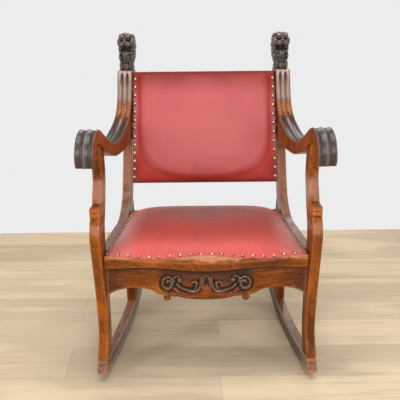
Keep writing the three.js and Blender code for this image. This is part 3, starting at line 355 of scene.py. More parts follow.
# Both belts on the side rails are painted light: the rail is paler, and greyer on top, where it faces the lamps
RAIL_ZONES = [(0.52, 0.11, 0.75, (0.50, 0.21, 0.11)), (0.36, 0.075, 0.55, (0.30, 0.20, 0.16))]
# Key, name, lean of the grain in degrees, colours, shift of the seed, and what differs from the usual
SIDE_OAKS = [("up", "upright", 0, OAK, 0.0, {"zones": LEG_ZONES}),
             ("arm", "arm", 0, OAK, 0.6, {"gloss": 0.50, "shine": 0.46}),
             ("post", "post", 0, OAK, 0.6, {"gloss": 0.40, "shine": 0.26}),
             ("rail", "rail", 62, DEEP_OAK, 0.2, {"shine": 0.3, "zones": RAIL_ZONES, "figure": 0.6}),
             ("back", "level", 90, RUNNER_OAK, 0.0, {"shine": 0.35, "zones": TOE_ZONES})]


def zone(tree, height, reach, share, uneven):
    """A belt of another colour at a height above the floor, ragged at its ends and streaked."""
    place = object_place(tree)
    level = add(tree, "ShaderNodeSeparateXYZ", {0: place}).outputs["Z"]
    ragged = times(tree, arithmetic(tree, "SUBTRACT", noise(tree, place, 38.0), 0.5), reach * 1.6)
    off = arithmetic(tree, "SUBTRACT", arithmetic(tree, "ADD", level, ragged), height)
    belt = between(tree, arithmetic(tree, "ABSOLUTE", off), reach, reach * 0.45)
    return times(tree, belt, between(tree, uneven, 0.3, 0.65, share * 0.55, share))


def oak(name, turn, colours, gloss=0.36, shine=0.14, zones=(), figure=0.0, seed=0.0):
    material, tree, shader = new_finish(name)
    tone, dark, pale = colours
    place = object_place(tree, turn, (seed, seed * 0.7, seed * 0.3))
    bent = vector(tree, "ADD", place, fibres(tree, place, (9, 9, 2.2)))
    rings = fibres(tree, bent, (210, 210, 3.0), 3.0, 0.6)
    broad = fibres(tree, bent, (46, 46, 2.6))
    streaks = fibres(tree, place, (620, 620, 14), 2.0, 0.6)
    pores = between(tree, fibres(tree, place, (1100, 1100, 42), 1.0), 0.60, 0.68)
    leaning = object_place(tree, tuple(a + b for a, b in zip(turn, FLECK_LEAN)))
    flecks = between(tree, fibres(tree, leaning, (46, 46, 170)), 0.56, 0.68)
    stain = fibres(tree, place, (11, 11, 5), 3.0)

    colour = blended(tree, between(tree, rings, 0.36, 0.62), dark, tone)
    colour = blended(tree, between(tree, broad, 0.46, 0.62, 0, 0.85), colour, dark)
    colour = blended(tree, between(tree, streaks, 0.35, 0.7, 0, 0.5), colour, pale)
    colour = blended(tree, times(tree, flecks, 0.18), colour, pale)
    colour = blended(tree, times(tree, pores, 0.55), colour, darker(dark, 0.25))
    colour = blended(tree, between(tree, stain, 0.50, 0.70, 0, 0.70), colour, darker(dark, 0.6))
    colour = blended(tree, between(tree, stain, 0.48, 0.32, 0, 0.45), colour, pale)
    if figure:
        rays = fibres(tree, object_place(tree, (math.radians(38), 0, 0)), (60, 190, 17))
        colour = blended(tree, between(tree, rays, 0.47, 0.60, 0, figure), colour, dark)
    for height, reach, share, zone_colour in zones:
        colour = blended(tree, zone(tree, height, reach, share, streaks), colour, zone_colour)
    hollow, wear_and_sheen, darkened = (attribute(tree, key) for key in ("hollow", "wear_and_sheen", "darkened"))
    colour = blended(tree, darkened, colour, BLACK_STAIN_AND_SHADE)
    colour = blended(tree, times(tree, hollow, 0.9), colour, CUT_DIRT_AND_SHADE)
    # Pale where hands have rubbed the edges; on black wood the same raised parts get a painted grey sheen
    # instead
    rubbed = times(tree, wear_and_sheen, arithmetic(tree, "SUBTRACT", 0.5, darkened))
    colour = blended(tree, arithmetic(tree, "MAXIMUM", rubbed, 0.0), colour, pale)
    colour = blended(tree, times(tree, times(tree, wear_and_sheen, darkened), 0.9), colour, PAINTED_SHEEN)
    height = arithmetic(tree, "SUBTRACT", times(tree, streaks, 0.5), pores)
    write(tree, shader, {"Base Color": colour, "Normal": bump(tree, height, 0.00025),
                         "Roughness": between(tree, stain, 0.3, 0.75, gloss - 0.05, gloss + 0.14),
                         "Specular IOR Level": shine, "Coat Weight": shine * 0.8, "Coat Roughness": 0.16})
    return material


oaks = {}
for side, seed, splay in (("left", 0.37, SPLAY), ("right", 2.27, -SPLAY)):
    for key, name, lean, colours, shift, more in SIDE_OAKS:
        turn = (math.radians(lean), 0, splay)
        oaks[side + "_" + key] = oak(side + "_" + name + "_oak", turn, colours, seed=seed + shift, **more)
oaks["across"] = oak("cross_oak", ACROSS, OAK, seed=3.3)
oaks["ledge"] = oak("front_rail_oak", ACROSS, OAK, zones=LEDGE_ZONES, seed=3.9)
oaks["carving"] = oak("carving_oak", ACROSS, OAK, gloss=0.20, shine=0.8, seed=3.3)
oaks["dark"] = oak("dark_oak", UP, HEAD_OAK, gloss=0.22, shine=0.5, seed=5.1)
print("oak finishes:", len(oaks))

# %% [markdown]
# ## Unseen wood, jute and metal
# Under the seat the maker saved money: the frame is plain unvarnished wood, held by screws, and the load is
# on woven jute. These are simple finishes, but each still has its own grain or weave.

# %% Plain finishes
def raw_wood(name, turn):
    material, tree, shader = new_finish(name)
    place = object_place(tree, turn)
    lines = fibres(tree, place, (190, 190, 4), 3.0, 0.6)
    dirt = noise(tree, place, 9.0, 4.0)
    colour = blended(tree, between(tree, lines, 0.3, 0.7), (0.25, 0.145, 0.068), (0.42, 0.27, 0.14))
    colour = blended(tree, between(tree, dirt, 0.45, 0.75, 0, 0.6), colour, (0.11, 0.07, 0.04))
    write(tree, shader, {"Base Color": colour, "Roughness": 0.8, "Normal": bump(tree, lines, 0.0004)})
    return material


def woven(name, thread, low, high, striped=0.0):
    """A plain weave of threads at right angles, along the "weave" attribute, which is in metres."""
    material, tree, shader = new_finish(name)
    place = object_place(tree)
    apart = add(tree, "ShaderNodeSeparateXYZ", {0: attribute(tree, "weave", "Vector")}).outputs
    waves = [arithmetic(tree, "SINE", times(tree, apart[k], 2 * math.pi / thread)) for k in (0, 1)]
    weave = arithmetic(tree, "ABSOLUTE", times(tree, *waves))
    mixed = times(tree, weave, arithmetic(tree, "ADD", noise(tree, place, 420.0), 0.6))
    colour = blended(tree, between(tree, mixed, 0.1, 0.8), low, high)
    if striped:
        aside = arithmetic(tree, "ABSOLUTE", apart[1])
        off = arithmetic(tree, "ABSOLUTE", arithmetic(tree, "SUBTRACT", aside, striped))
        colour = blended(tree, between(tree, off, 0.0022, 0.0012, 0, 0.7), colour, (0.10, 0.045, 0.025))
    dust = noise(tree, place, 16.0, 4.0)
    colour = blended(tree, between(tree, dust, 0.45, 0.75, 0, 0.5), colour, darker(low, 0.7))
    write(tree, shader, {"Base Color": colour, "Roughness": 0.9, "Sheen Weight": 0.2,
                         "Normal": bump(tree, mixed, 0.0008)})
    return material


def metal(name, colour, tarnish, roughness):
    material, tree, shader = new_finish(name)
    spots = noise(tree, object_place(tree), 260.0, 4.0)
    rough = between(tree, spots, 0.3, 0.8, roughness, roughness + 0.25)
    mixed = blended(tree, between(tree, spots, 0.42, 0.68), colour, tarnish)
    write(tree, shader, {"Base Color": mixed, "Roughness": rough, "Metallic": 1.0})
    return material


turns = {"up": UP, "back": BACK_TURN, "across": ACROSS}
pine = {grain: raw_wood("pine_" + grain, turn) for grain, turn in turns.items()}
jute = woven("jute_webbing", 0.0032, (0.16, 0.10, 0.05), (0.47, 0.34, 0.19), 0.0175)
burlap = woven("burlap", 0.0021, (0.14, 0.09, 0.045), (0.38, 0.27, 0.15))
# A darker brass that paints shade on the nails along the seat's sides
shaded_brass = metal("shaded_brass", (0.50, 0.33, 0.23), (0.16, 0.09, 0.06), 0.38)
steel = metal("steel", (0.36, 0.34, 0.32), (0.13, 0.09, 0.07), 0.35)
brass = metal("brass", (0.86, 0.62, 0.38), (0.40, 0.23, 0.13), 0.22)
print("plain finishes:", len(pine) + 5)

# %% [markdown]
# ## Red leather
# The cover is thick upholstery hide. Close to, it has a pebbled grain, which a fine Voronoi gives, and
# faint stretch marks. From a chair's length away it has wear instead: the seat's rear has gone dull and
# brown where people sit, the front edge is polished bright, and dirt has gathered along the nails, where
# painted shade darkens the border too. Light is painted in as well: reflections of the windows on the
# seat's sides and down the back's sides, a pink sheen on the back's full middle, and shade on the back's
# top and bottom rolls and in its lower corners. Those places are found from the Object coordinates, as soft
# round patches.

# %% Leather finish
SOIL_AND_SHADE = (0.085, 0.022, 0.018)
LEATHER_ROUGHNESS = 0.40
SEAT_REDS = ((0.42, 0.052, 0.038), (0.62, 0.085, 0.070))
# The back's first red, for its full middle, is pink as a painted sheen; the second is the rim's deeper red
BACK_REDS = ((0.54, 0.110, 0.112), (0.43, 0.026, 0.012))
# Centre, reach, share and colour of each patch
seat_wear_and_reflection = [
    ((0.0, -0.035, 0.43), (0.42, 0.155, 0.30), 0.95, (0.250, 0.112, 0.096)),
    ((0.0, -0.285, 0.40), (0.30, 0.07, 0.12), 0.55, (0.70, 0.120, 0.095)),
    # The pale patches on the seat's left and right slopes are painted reflections of the windows
    ((-0.250, -0.08, 0.40), (0.085, 0.30, 0.10), 1.0, (0.62, 0.31, 0.28)),
    ((0.252, -0.13, 0.40), (0.075, 0.22, 0.10), 0.95, (0.52, 0.24, 0.20))]
# All the back's patches are painted light: a pink sheen in the middle, reflections of the windows down both
# sides, and shade on the top and bottom rolls and in the lower corners
back_painted_light = [
    ((0.02, 0.05, 0.64), (0.20, 0.20, 0.16), 0.55, (0.62, 0.15, 0.145)),
    ((-0.226, 0.1, 0.68), (0.032, 0.40, 0.17), 1.0, (0.78, 0.34, 0.34)),
    ((0.226, 0.1, 0.68), (0.032, 0.40, 0.17), 0.9, (0.74, 0.30, 0.30)),
    ((0.0, 0.15, 0.828), (1.2, 0.60, 0.085), 1.0, (0.180, 0.009, 0.004)),
    ((0.0, 0.05, 0.465), (1.2, 0.60, 0.085), 1.0, (0.33, 0.021, 0.010)),
    ((-0.225, 0.05, 0.520), (0.085, 0.60, 0.090), 0.8, (0.24, 0.016, 0.008)),
    ((0.225, 0.05, 0.520), (0.080, 0.60, 0.090), 0.8, (0.24, 0.016, 0.008))]


def patch(tree, place, centre, reach):
    """1 in the middle of an ellipsoid and 0 outside it."""
    scaled = vector(tree, "DIVIDE", vector(tree, "SUBTRACT", place, centre), reach)
    return between(tree, length(tree, scaled), 1.0, 0.0)


def leather(name, reds, patches, shine):
    material, tree, shader = new_finish(name)
    red, edge_red = reds
    place = object_place(tree)
    cloud = noise(tree, place, 11.0, 4.0)
    # On the back, the pinker red where the pad is full is a painted sheen
    colour = blended(tree, between(tree, attribute(tree, "fullness"), 0.28, 0.78), edge_red, red)
    colour = blended(tree, between(tree, cloud, 0.35, 0.7, 0, 0.25), colour, darker(red, 0.62))
    # Patches of wear, and of painted reflection, sheen and shade
    for centre, reach, share, patch_colour in patches:
        spread = times(tree, patch(tree, place, centre, reach), share)
        uneven = times(tree, spread, between(tree, cloud, 0.2, 0.6, 0.65, 1.0))
        colour = blended(tree, uneven, colour, patch_colour)
    # Soil along the nails, with painted shade where the hide meets the wood
    soiled_and_shaded = times(tree, attribute(tree, "soiled_and_shaded"), between(tree, cloud, 0.25, 0.6, 0.6, 1))
    colour = blended(tree, soiled_and_shaded, colour, SOIL_AND_SHADE)
    cells = add(tree, "ShaderNodeTexVoronoi", {"Vector": place, "Scale": 620.0}, feature="DISTANCE_TO_EDGE")
    pebble = between(tree, cells.outputs["Distance"], 0.0, 0.22)
    crease = noise(tree, place, 95.0, 5.0, 0.65)
    colour = blended(tree, between(tree, pebble, 0.5, 0.0, 0, 0.25), colour, darker(red, 0.5))
    height = arithmetic(tree, "ADD", pebble, times(tree, crease, 1.6))
    rough = between(tree, crease, 0.3, 0.75, LEATHER_ROUGHNESS - 0.06, LEATHER_ROUGHNESS + 0.14)
    write(tree, shader, {"Base Color": colour, "Specular IOR Level": shine, "Roughness": rough,
                         "Normal": bump(tree, height, 0.00022)})
    return material


seat_leather = leather("seat_leather", SEAT_REDS, seat_wear_and_reflection, 0.42)
back_leather = leather("back_leather", BACK_REDS, back_painted_light, 0.24)
print("leather:", seat_leather.name, back_leather.name)

# %% [markdown]
# ## The padded panels
# The seat and the back are the same thing twice: a wooden frame, webbing, stuffing, and a hide pulled over
# it and nailed down round the edge. So one description serves both. It says how wide the panel is at each
# distance along it, where its front edge runs, how full it is, and how its own plane lies in the room.

# %% Panels
FRONT_HALF = 0.300
PLANE_SHIFT = 0.290445
FRAME_HALF_THICKNESS = 0.01425
ARM_HALF_WIDTH = 0.025
SEAT_LEVEL = 0.378
SEAT_END = 0.420
SEAT_GAP = 0.0025
SEAT_CROWN = 0.048
SEAT_EDGE = {"bow": -0.003, "waist": 0.028, "corner": 0.020, "waist_share": 0.64}
BACK_FOOT = (0.376, 0.484)
BACK_RECLINE = math.radians(13)
BACK_HEIGHT = 0.343
BACK_DEPTH = 0.022
BACK_GAP = 0.0012
BACK_CROWN = 0.022
BORDER_END = 0.0045
SEAT_BOXINESS = (4.8, 1.8)
BACK_ROUNDNESS = 2.4
PLATEAU_EDGE = (0.90, 1.07)
RIM_SHARE = 0.40
END_FALL = 0.16
HIDE = 0.002
LAID = 0.0003


def half_width(back, margin):
    return FRONT_HALF - back * math.tan(SPLAY) - margin / math.cos(SPLAY)


def serpentine(x):
    share = min(1.0, abs(x) / half_width(0, FRAME_HALF_THICKNESS))
    turn = SEAT_EDGE["waist_share"]

    def wave(start, end, part):
        return start + (end - start) * (1 - math.cos(math.pi * part)) / 2

    if share < turn:
        return wave(SEAT_EDGE["bow"], SEAT_EDGE["waist"], share / turn)
    return wave(SEAT_EDGE["waist"], SEAT_EDGE["corner"], (share - turn) / (1 - turn))


# The front rail's top falls away to an edge that dips between the middle and the corners, and the hide
# stops short of that edge. The drops, slopes and setbacks are measured at the same distances from the middle.
EDGE_PLACES = (0.0, 0.055, 0.122, 0.155, 0.190, 0.235, 0.283)
EDGE_DROPS = (0.0120, 0.0150, 0.0175, 0.0190, 0.0155, 0.0070, 0.0)
EDGE_SLOPES = (0.028, 0.026, 0.025, 0.024, 0.022, 0.014, 0.008)
HIDE_SETBACKS = (0.0280, 0.0187, 0.0087, 0.0050, 0.0025, 0.0030, 0.0080)


def eased_between(values, x):
    """A smooth curve through values given at EDGE_PLACES."""
    places = (-EDGE_PLACES[1], *EDGE_PLACES, 2 * EDGE_PLACES[-1] - EDGE_PLACES[-2])
    heights = (values[1], *values, values[-1])
    x = min(abs(x), EDGE_PLACES[-1])
    k = max(1, min(len(places) - 3, sum(place <= x for place in places) - 1))
    t = (x - places[k]) / (places[k + 1] - places[k])
    rises = [(heights[j + 1] - heights[j - 1]) / (places[j + 1] - places[j - 1]) * (places[k + 1] - places[k])
             for j in (k, k + 1)]
    return ((2 * t ** 3 - 3 * t ** 2 + 1) * heights[k] + (t ** 3 - 2 * t ** 2 + t) * rises[0]
            + (3 * t ** 2 - 2 * t ** 3) * heights[k + 1] + (t ** 3 - t ** 2) * rises[1])


def frame_top(x, y):
    """How far the seat frame's top lies below its level, near the front edge."""
    behind = (y - serpentine(x)) / max(1e-6, eased_between(EDGE_SLOPES, x))
    fall = 1 - max(0.0, min(1.0, behind))
    return -eased_between(EDGE_DROPS, x) * fall


def hide_edge(x):
    return serpentine(x) + eased_between(HIDE_SETBACKS, x)


def seat_to_room(x, y, z):
    return x, y - PLANE_SHIFT, SEAT_LEVEL + z


def back_to_room(x, y, z):
    lean, rise = math.sin(BACK_RECLINE), math.cos(BACK_RECLINE)
    return x, BACK_FOOT[0] - PLANE_SHIFT + y * lean - z * rise, BACK_FOOT[1] + y * rise + z * lean


def back_half(y):
    rear_face = y * math.sin(BACK_RECLINE) + BACK_DEPTH * math.cos(BACK_RECLINE)
    return half_width(BACK_FOOT[0] + rear_face, ARM_HALF_WIDTH) - BACK_GAP


def seat_swell(across, along):
    """How full the pad is, from 0 to 1, at shares from -1 to 1."""
    boxy = SEAT_BOXINESS[0] + SEAT_BOXINESS[1] * along
    return (max(0.0, 1 - abs(across) ** boxy) * (1 - abs(along) ** 2.8)) ** 0.7


def back_swell(across, along):
    """Full to its upper edge and sides, but drawn in below to a U, so the lower corners lie flatter."""
    low = max(0.0, -along) / 0.97
    reach = ((abs(across) / 0.975) ** BACK_ROUNDNESS + low ** BACK_ROUNDNESS) ** (1 / BACK_ROUNDNESS)
    plateau = 1 - ramp(reach, *PLATEAU_EDGE)
    rim = (max(0.0, 1 - abs(across) ** 16) * max(0.0, 1 - abs(along) ** 12)) ** 0.5
    return rim * (RIM_SHARE + (1 - RIM_SHARE) * plateau * (1 - END_FALL * ramp(abs(along), 0.45, 0.95)))


# Soil and shade shares in the side, front and rear borders; the back's front border is its bottom edge, painted
# darkest as shade
SEAT = {"half": lambda y: half_width(y, FRAME_HALF_THICKNESS) - SEAT_GAP, "front": hide_edge, "top": frame_top,
        "end": SEAT_END, "crown": SEAT_CROWN, "swell": seat_swell, "borders": (0.012, 0.0105, 0.010),
        "soil_and_shade": (0.90, 0.0, 0.75), "room": seat_to_room}
BACK = {"half": back_half, "front": lambda x: 0.0, "top": lambda x, y: 0.0, "end": BACK_HEIGHT,
        "crown": BACK_CROWN, "swell": back_swell, "borders": (0.012, BORDER_END, BORDER_END),
        "soil_and_shade": (0.60, 1.0, 0.35), "room": back_to_room}


def panel_point(panel, across, along, margins):
    side, front, end = margins
    guess = across * (panel["half"](panel["end"] / 2) - side)
    start = panel["front"](guess) + front
    y = start + (panel["end"] - end - start) * (along + 1) / 2
    return across * (panel["half"](y) - side), y


def from_rim(panel, x, y):
    """How far a point lies inside the panel's side, front and rear edges."""
    return panel["half"](y) - abs(x), y - panel["front"](x), panel["end"] - y


print("seat", round(2 * SEAT["half"](0.02), 3), "m wide in front, back",
      round(2 * BACK["half"](0.3), 3), "at the top")

# %% [markdown]
# ## Stuffing the hide
# A pad is fullest where nothing holds it and pulls tight at its corners, which is what a pressure inside a
# cloth does. We lay an even grid over the panel, raise it roughly, pin the nailed border, and let Blender's
# cloth solver blow it up for twenty frames without gravity. How far the solver moved each point is capped
# and evened out, because it leaves creases. The crown is then set to the height measured from the
# photograph, and the hide is closed underneath and subdivided once.

# %% Cushion maker
BORDER_LINES = 3
PUFF_FRAMES = 20
PUFF_SHARE = 0.8
CLOTH = {"quality": 6, "mass": 0.4, "tension_stiffness": 30, "compression_stiffness": 30, "shear_stiffness": 12,
         "bending_stiffness": 2.5, "use_pressure": True}
STRAP_RISE, BURLAP_RISE = 0.0018, 0.0031
SOIL_AND_SHADE_REACHES = (0.014, 0.010, 0.014)


def cover_grid(panel, columns, rows):
    """Points in the panel's plane, from the outer edge inwards over the nailed border and the pad."""
    side, front, end = panel["borders"]
    lines = []
    for count, low, high in ((rows, front, end), (columns, side, side)):
        outside = [1 - k / BORDER_LINES for k in range(BORDER_LINES)]
        inner = [(2 * k / count - 1, 0.0) for k in range(count + 1)]
        lines.append([(-1, -low * k) for k in outside] + inner + [(1, high * k) for k in reversed(outside)])
    points = []
    for along, past_end in lines[0]:
        for across, past_side in lines[1]:
            x, y = panel_point(panel, across, along, panel["borders"])
            x, y = x + past_side, y + past_end
            nailed = 1 in (abs(across), abs(along))
            swell = 0 if nailed else panel["crown"] * panel["swell"](across, along)
            points.append((x, y, LAID + HIDE + swell + panel["top"](x, y), nailed))
    return points, len(lines[0]), len(lines[1])


def underside(panel, x, y):
    """The hide lies on the frame at its rim, then over the strap ends, then over the burlap."""
    inside = min(from_rim(panel, x, y))
    raised = STRAP_RISE * ramp(inside, 0.009, 0.015) + BURLAP_RISE * ramp(inside, 0.017, 0.026)
    return LAID + panel["top"](x, y) + raised


def soil_and_shade_at(panel, x, y):
    """Dirt gathers in the border, between the nails and the wood, and painted shade darkens it where the hide
    meets the wood, most along the back's bottom edge.
    """
    return max(share * (1 - float(ramp(away, 0.25 * reach, reach)))
               for share, away, reach in zip(panel["soil_and_shade"], from_rim(panel, x, y), SOIL_AND_SHADE_REACHES))


def sheet_faces(rows, columns):
    """Faces of a grid of points, and of the closed sheet that it makes with a second grid below it."""
    count = rows * columns
    upper = [(r * columns + c, r * columns + c + 1, (r + 1) * columns + c + 1, (r + 1) * columns + c)
             for r in range(rows - 1) for c in range(columns - 1)]
    rim = (list(range(columns)) + [r * columns + columns - 1 for r in range(1, rows)]
           + [(rows - 1) * columns + k for k in range(columns - 2, -1, -1)]
           + [r * columns for r in range(rows - 2, 0, -1)])
    lower = [tuple(k + count for k in reversed(face)) for face in upper]
    return upper, upper + lower + [(b, a, a + count, b + count) for a, b in zip(rim, rim[1:] + rim[:1])]


def puffed(name, points, faces, pinned, pressure):
    mesh = bpy.data.meshes.new(name)
    mesh.from_pydata(points, [], faces)
    cloth = placed(name, mesh)
    group = cloth.vertex_groups.new(name="nailed")
    group.add([k for k, held in enumerate(pinned) if held], 1.0, "REPLACE")
    puff = cloth.modifiers.new("puff", "CLOTH")
    for setting, value in CLOTH.items():
        setattr(puff.settings, setting, value)
    puff.settings.uniform_pressure_force = pressure
    puff.settings.effector_weights.gravity = 0
    puff.settings.vertex_group_mass = "nailed"
    puff.collision_settings.use_collision = False
    puff.point_cache.frame_start, puff.point_cache.frame_end = 1, PUFF_FRAMES
    scene = bpy.context.scene
    for moment in range(1, PUFF_FRAMES + 1):
        scene.frame_set(moment)
    shape = cloth.evaluated_get(bpy.context.evaluated_depsgraph_get()).to_mesh()
    result = np.array([v.co for v in shape.vertices])
    bpy.data.objects.remove(cloth)
    scene.frame_set(1)
    return result


def eased_grid(values, rows, columns, steps):
    """Evens out a grid of values, a little at every step, with its rim held."""
    grid = values.reshape(rows, columns).copy()
    for _ in range(steps):
        around = grid[:-2, 1:-1] + grid[2:, 1:-1] + grid[1:-1, :-2] + grid[1:-1, 2:]
        grid[1:-1, 1:-1] += 0.5 * (around / 4 - grid[1:-1, 1:-1])
    return grid.ravel()


def cushion(name, panel, columns, rows, pressure, cap, ease_steps, material):
    points, row_count, column_count = cover_grid(panel, columns, rows)
    flat = np.array([p[:3] for p in points])
    pinned = np.array([p[3] for p in points])
    faces, shell = sheet_faces(row_count, column_count)
    shaped = flat
    shaped = puffed(name + "_cloth", flat.tolist(), faces, pinned, pressure)
    away = np.clip(np.linalg.norm(shaped - flat, axis=1, keepdims=True), 1e-9, None)
    moved = (shaped - flat) * np.minimum(1, cap / away)
    moved = np.column_stack([eased_grid(part, row_count, column_count, ease_steps) for part in moved.T])
    shaped = flat + np.where(pinned[:, None], 0, moved)
    shaped[:, 2] = flat[:, 2] + (shaped[:, 2] - flat[:, 2]) * PUFF_SHARE
    rest = LAID + HIDE
    shaped[:, 2] *= np.where(shaped[:, 2] > rest, (panel["crown"] + rest) / shaped[:, 2].max(), 1)
    under = flat.copy()
    under[:, 2] = [underside(panel, x, y) for x, y in flat[:, :2]]
    shaped[:, 2] = np.maximum(shaped[:, 2], under[:, 2] + 0.8 * HIDE)
    tops = [panel["top"](x, y) for x, y in flat[:, :2]]
    swelling = np.clip((shaped[:, 2] - tops - LAID - HIDE) / panel["crown"], 0, 1)
    mesh = bpy.data.meshes.new(name)
    mesh.from_pydata([panel["room"](*p) for p in np.vstack((shaped, under)).tolist()], [], shell)
    mesh.materials.append(material)
    mesh.shade_smooth()
    write_attribute(mesh, "fullness", np.concatenate((swelling, np.zeros(len(flat)))))
    write_attribute(mesh, "soiled_and_shaded", [soil_and_shade_at(panel, x, y) for x, y in flat[:, :2]] * 2)
    piece = placed(name, mesh)
    finer = piece.modifiers.new("finer", "SUBSURF")
    finer.levels = finer.render_levels = 1
    print(name, "crown", round(float(shaped[:, 2].max()), 4), "m,", len(shell), "faces")
    return piece


seat_cushion = cushion("seat_cushion", SEAT, 110, 78, 4.0, 0.016, 4, seat_leather)
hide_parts("seat_leather", "seat_stuffing")
back_cushion = cushion("back_cushion", BACK, 96, 76, 2.5, 0.004, 60, back_leather)
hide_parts("back_leather", "back_stuffing")
for piece in (seat_cushion, back_cushion):
    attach(piece, "root")

# %% [markdown]
# ## Rows of brass nails
# Domed nails hold the hide, about an inch apart. A row is one shape repeated along a path, so Geometry Nodes
# make it: the path is resampled to the number of nails, a dome is put on each point, and a small random
# tilt, with a fixed seed, keeps the row from looking stamped.

# %% Nail rows
NAIL_DIAMETER = 0.0088
NAIL_HEIGHT = 0.0034
NAIL_INSET = 0.0062
NAIL_TILT = 0.10
DOME_FOOT = -0.15
DENT_DIAMETER = 0.0128
DENT_HEIGHT = 0.0007
SEAT_FRONT_NAILS = 20
SEAT_SIDE_NAILS = 15
BACK_SIDE_NAILS = (13, 12)
BACK_NAILS_REACH = (-0.925, 0.905)


def nail_row_tree():
    tree = bpy.data.node_groups.new("nail_row", "GeometryNodeTree")
    face = tree.interface
    for name, kind in (("Geometry", "Geometry"), ("Nails", "Int"), ("Diameter", "Float"), ("Height", "Float"),
                       ("Facing", "Vector"), ("Tilt", "Float"), ("Seed", "Int"), ("Finish", "Material")):
        face.new_socket(name, in_out="INPUT", socket_type="NodeSocket" + kind)
    face.new_socket("Geometry", in_out="OUTPUT", socket_type="NodeSocketGeometry")
    start = add(tree, "NodeGroupInput").outputs

    def made(kind, inputs, **settings):
        return add(tree, kind, inputs, **settings).outputs[0]

    path = made("GeometryNodeMeshToCurve", {0: start["Geometry"]})
    points = made("GeometryNodeCurveToPoints", {"Curve": path, "Count": start["Nails"]}, mode="COUNT")
    ball = made("GeometryNodeMeshUVSphere", {"Segments": 14, "Rings": 8, "Radius": 1.0})
    here = add(tree, "ShaderNodeSeparateXYZ", {0: made("GeometryNodeInputPosition", {})}).outputs
    raised = arithmetic(tree, "MAXIMUM", here["Z"], DOME_FOOT)
    flattened = made("ShaderNodeCombineXYZ", {0: here["X"], 1: here["Y"], 2: raised})
    dome = made("GeometryNodeSetPosition", {"Geometry": ball, "Position": flattened})
    radius = times(tree, start["Diameter"], 0.5)
    size = made("ShaderNodeCombineXYZ", {0: radius, 1: radius, 2: start["Height"]})
    nail = made("GeometryNodeTransform", {"Geometry": dome, "Scale": size})
    facing = made("FunctionNodeAlignRotationToVector", {"Vector": start["Facing"]}, axis="Z")
    nails = made("GeometryNodeInstanceOnPoints", {"Points": points, "Instance": nail, "Rotation": facing})
    least, most = (made("ShaderNodeVectorMath", {0: (side,) * 3, "Scale": start["Tilt"]}, operation="SCALE")
                   for side in (-1, 1))
    draws = {0: least, 1: most, "Seed": start["Seed"]}
    chance = made("FunctionNodeRandomValue", draws, data_type="FLOAT_VECTOR")
    turned = made("GeometryNodeRotateInstances", {"Instances": nails, "Rotation": chance})
    real = made("GeometryNodeRealizeInstances", {0: turned})
    done = made("GeometryNodeSetMaterial", {"Geometry": real, "Material": start["Finish"]})
    add(tree, "NodeGroupOutput", {"Geometry": done})
    return tree


def nail_row(name, points, values, closed=False):
    """Runs the tree on a path and keeps its result as a plain mesh."""
    mesh = bpy.data.meshes.new(name)
    edges = [(k, k + 1) for k in range(len(points) - 1)] + ([(len(points) - 1, 0)] if closed else [])
    mesh.from_pydata([tuple(p) for p in points], edges, [])
    source = placed(name + "_path", mesh)
    modifier = source.modifiers.new("maker", "NODES")
    modifier.node_group = nail_tree
    for item in nail_tree.interface.items_tree:
        if item.in_out == "INPUT" and item.name in values:
            modifier[item.identifier] = values[item.name]
    result = bpy.data.meshes.new_from_object(source.evaluated_get(bpy.context.evaluated_depsgraph_get()))
    bpy.data.objects.remove(source)
    result.name = name
    result.shade_smooth()
    row = placed(name, result)
    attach(row, "root")
    print(name, values["Nails"], "nails,", len(result.polygons), "faces")


def border_path(panel, side, steps=60):
    """A line in the middle of the nailed border: "front", "left" or "right", a little above the hide."""
    path = []
    low, high = BACK_NAILS_REACH if panel is BACK else (-1, 1)
    for k in range(steps + 1):
        share = low + (high - low) * k / steps
        ends = {"front": (share, -1), "left": (-1, share), "right": (1, share)}
        x, y = panel_point(panel, *ends[side], (NAIL_INSET,) * 3)
        path.append(panel["room"](x, y, LAID + HIDE + panel["top"](x, y)))
    return path


nail_tree = nail_row_tree()
back_facing = tuple(Vector(BACK["room"](0, 0, 1)) - Vector(BACK["room"](0, 0, 0)))
rows = [("seat_front", SEAT, "front", SEAT_FRONT_NAILS, (0, -0.45, 0.89)),
        ("seat_left", SEAT, "left", SEAT_SIDE_NAILS, (0, 0, 1)),
        ("seat_right", SEAT, "right", SEAT_SIDE_NAILS, (0, 0, 1)),
        ("back_left", BACK, "left", BACK_SIDE_NAILS[0], back_facing),
        ("back_right", BACK, "right", BACK_SIDE_NAILS[1], back_facing)]
# Under each nail a wider flat dark disc paints the shade of its dent in the hide, with the dirt round it
dent_shade_and_grime, dent_tree, dent_shader = new_finish("dent_shade_and_grime")
patchy = noise(dent_tree, object_place(dent_tree), 300.0)
shade_and_grime = blended(dent_tree, patchy, (0.030, 0.008, 0.006), (0.16, 0.035, 0.028))
write(dent_tree, dent_shader, {"Base Color": shade_and_grime, "Roughness": 0.7})
for seed, (name, panel, side, count, facing) in enumerate(rows, 3):
    path = border_path(panel, side)
    # The nails along the seat's sides, seen edge-on, get the darker brass as painted shade
    nail_brass = shaded_brass if name in ("seat_left", "seat_right") else brass
    for kind, slot, diameter, height, tilt, finish in (
            ("nails", "brass", NAIL_DIAMETER, NAIL_HEIGHT, NAIL_TILT, nail_brass),
            ("dents", "leather", DENT_DIAMETER, DENT_HEIGHT, 0.0, dent_shade_and_grime)):
        values = {"Nails": count, "Diameter": diameter, "Height": height, "Facing": facing,
                  "Tilt": tilt, "Seed": seed, "Finish": finish}
        nail_row(name + "_" + kind, path, values)

# %% [markdown]
# ## From sawn solids to worked wood
# A sawn solid has perfect corners, and a chair that is a hundred years old has none. For each wooden piece
# that shows we take a copy of its solid, merge its loose triangles, and remesh it into even little squares.
# A light smoothing then eases every corner, and the squares give us something to carve. What was cut below
# its surroundings is written to the "hollow" attribute, and what stands above them to the attribute for wear
# and sheen.

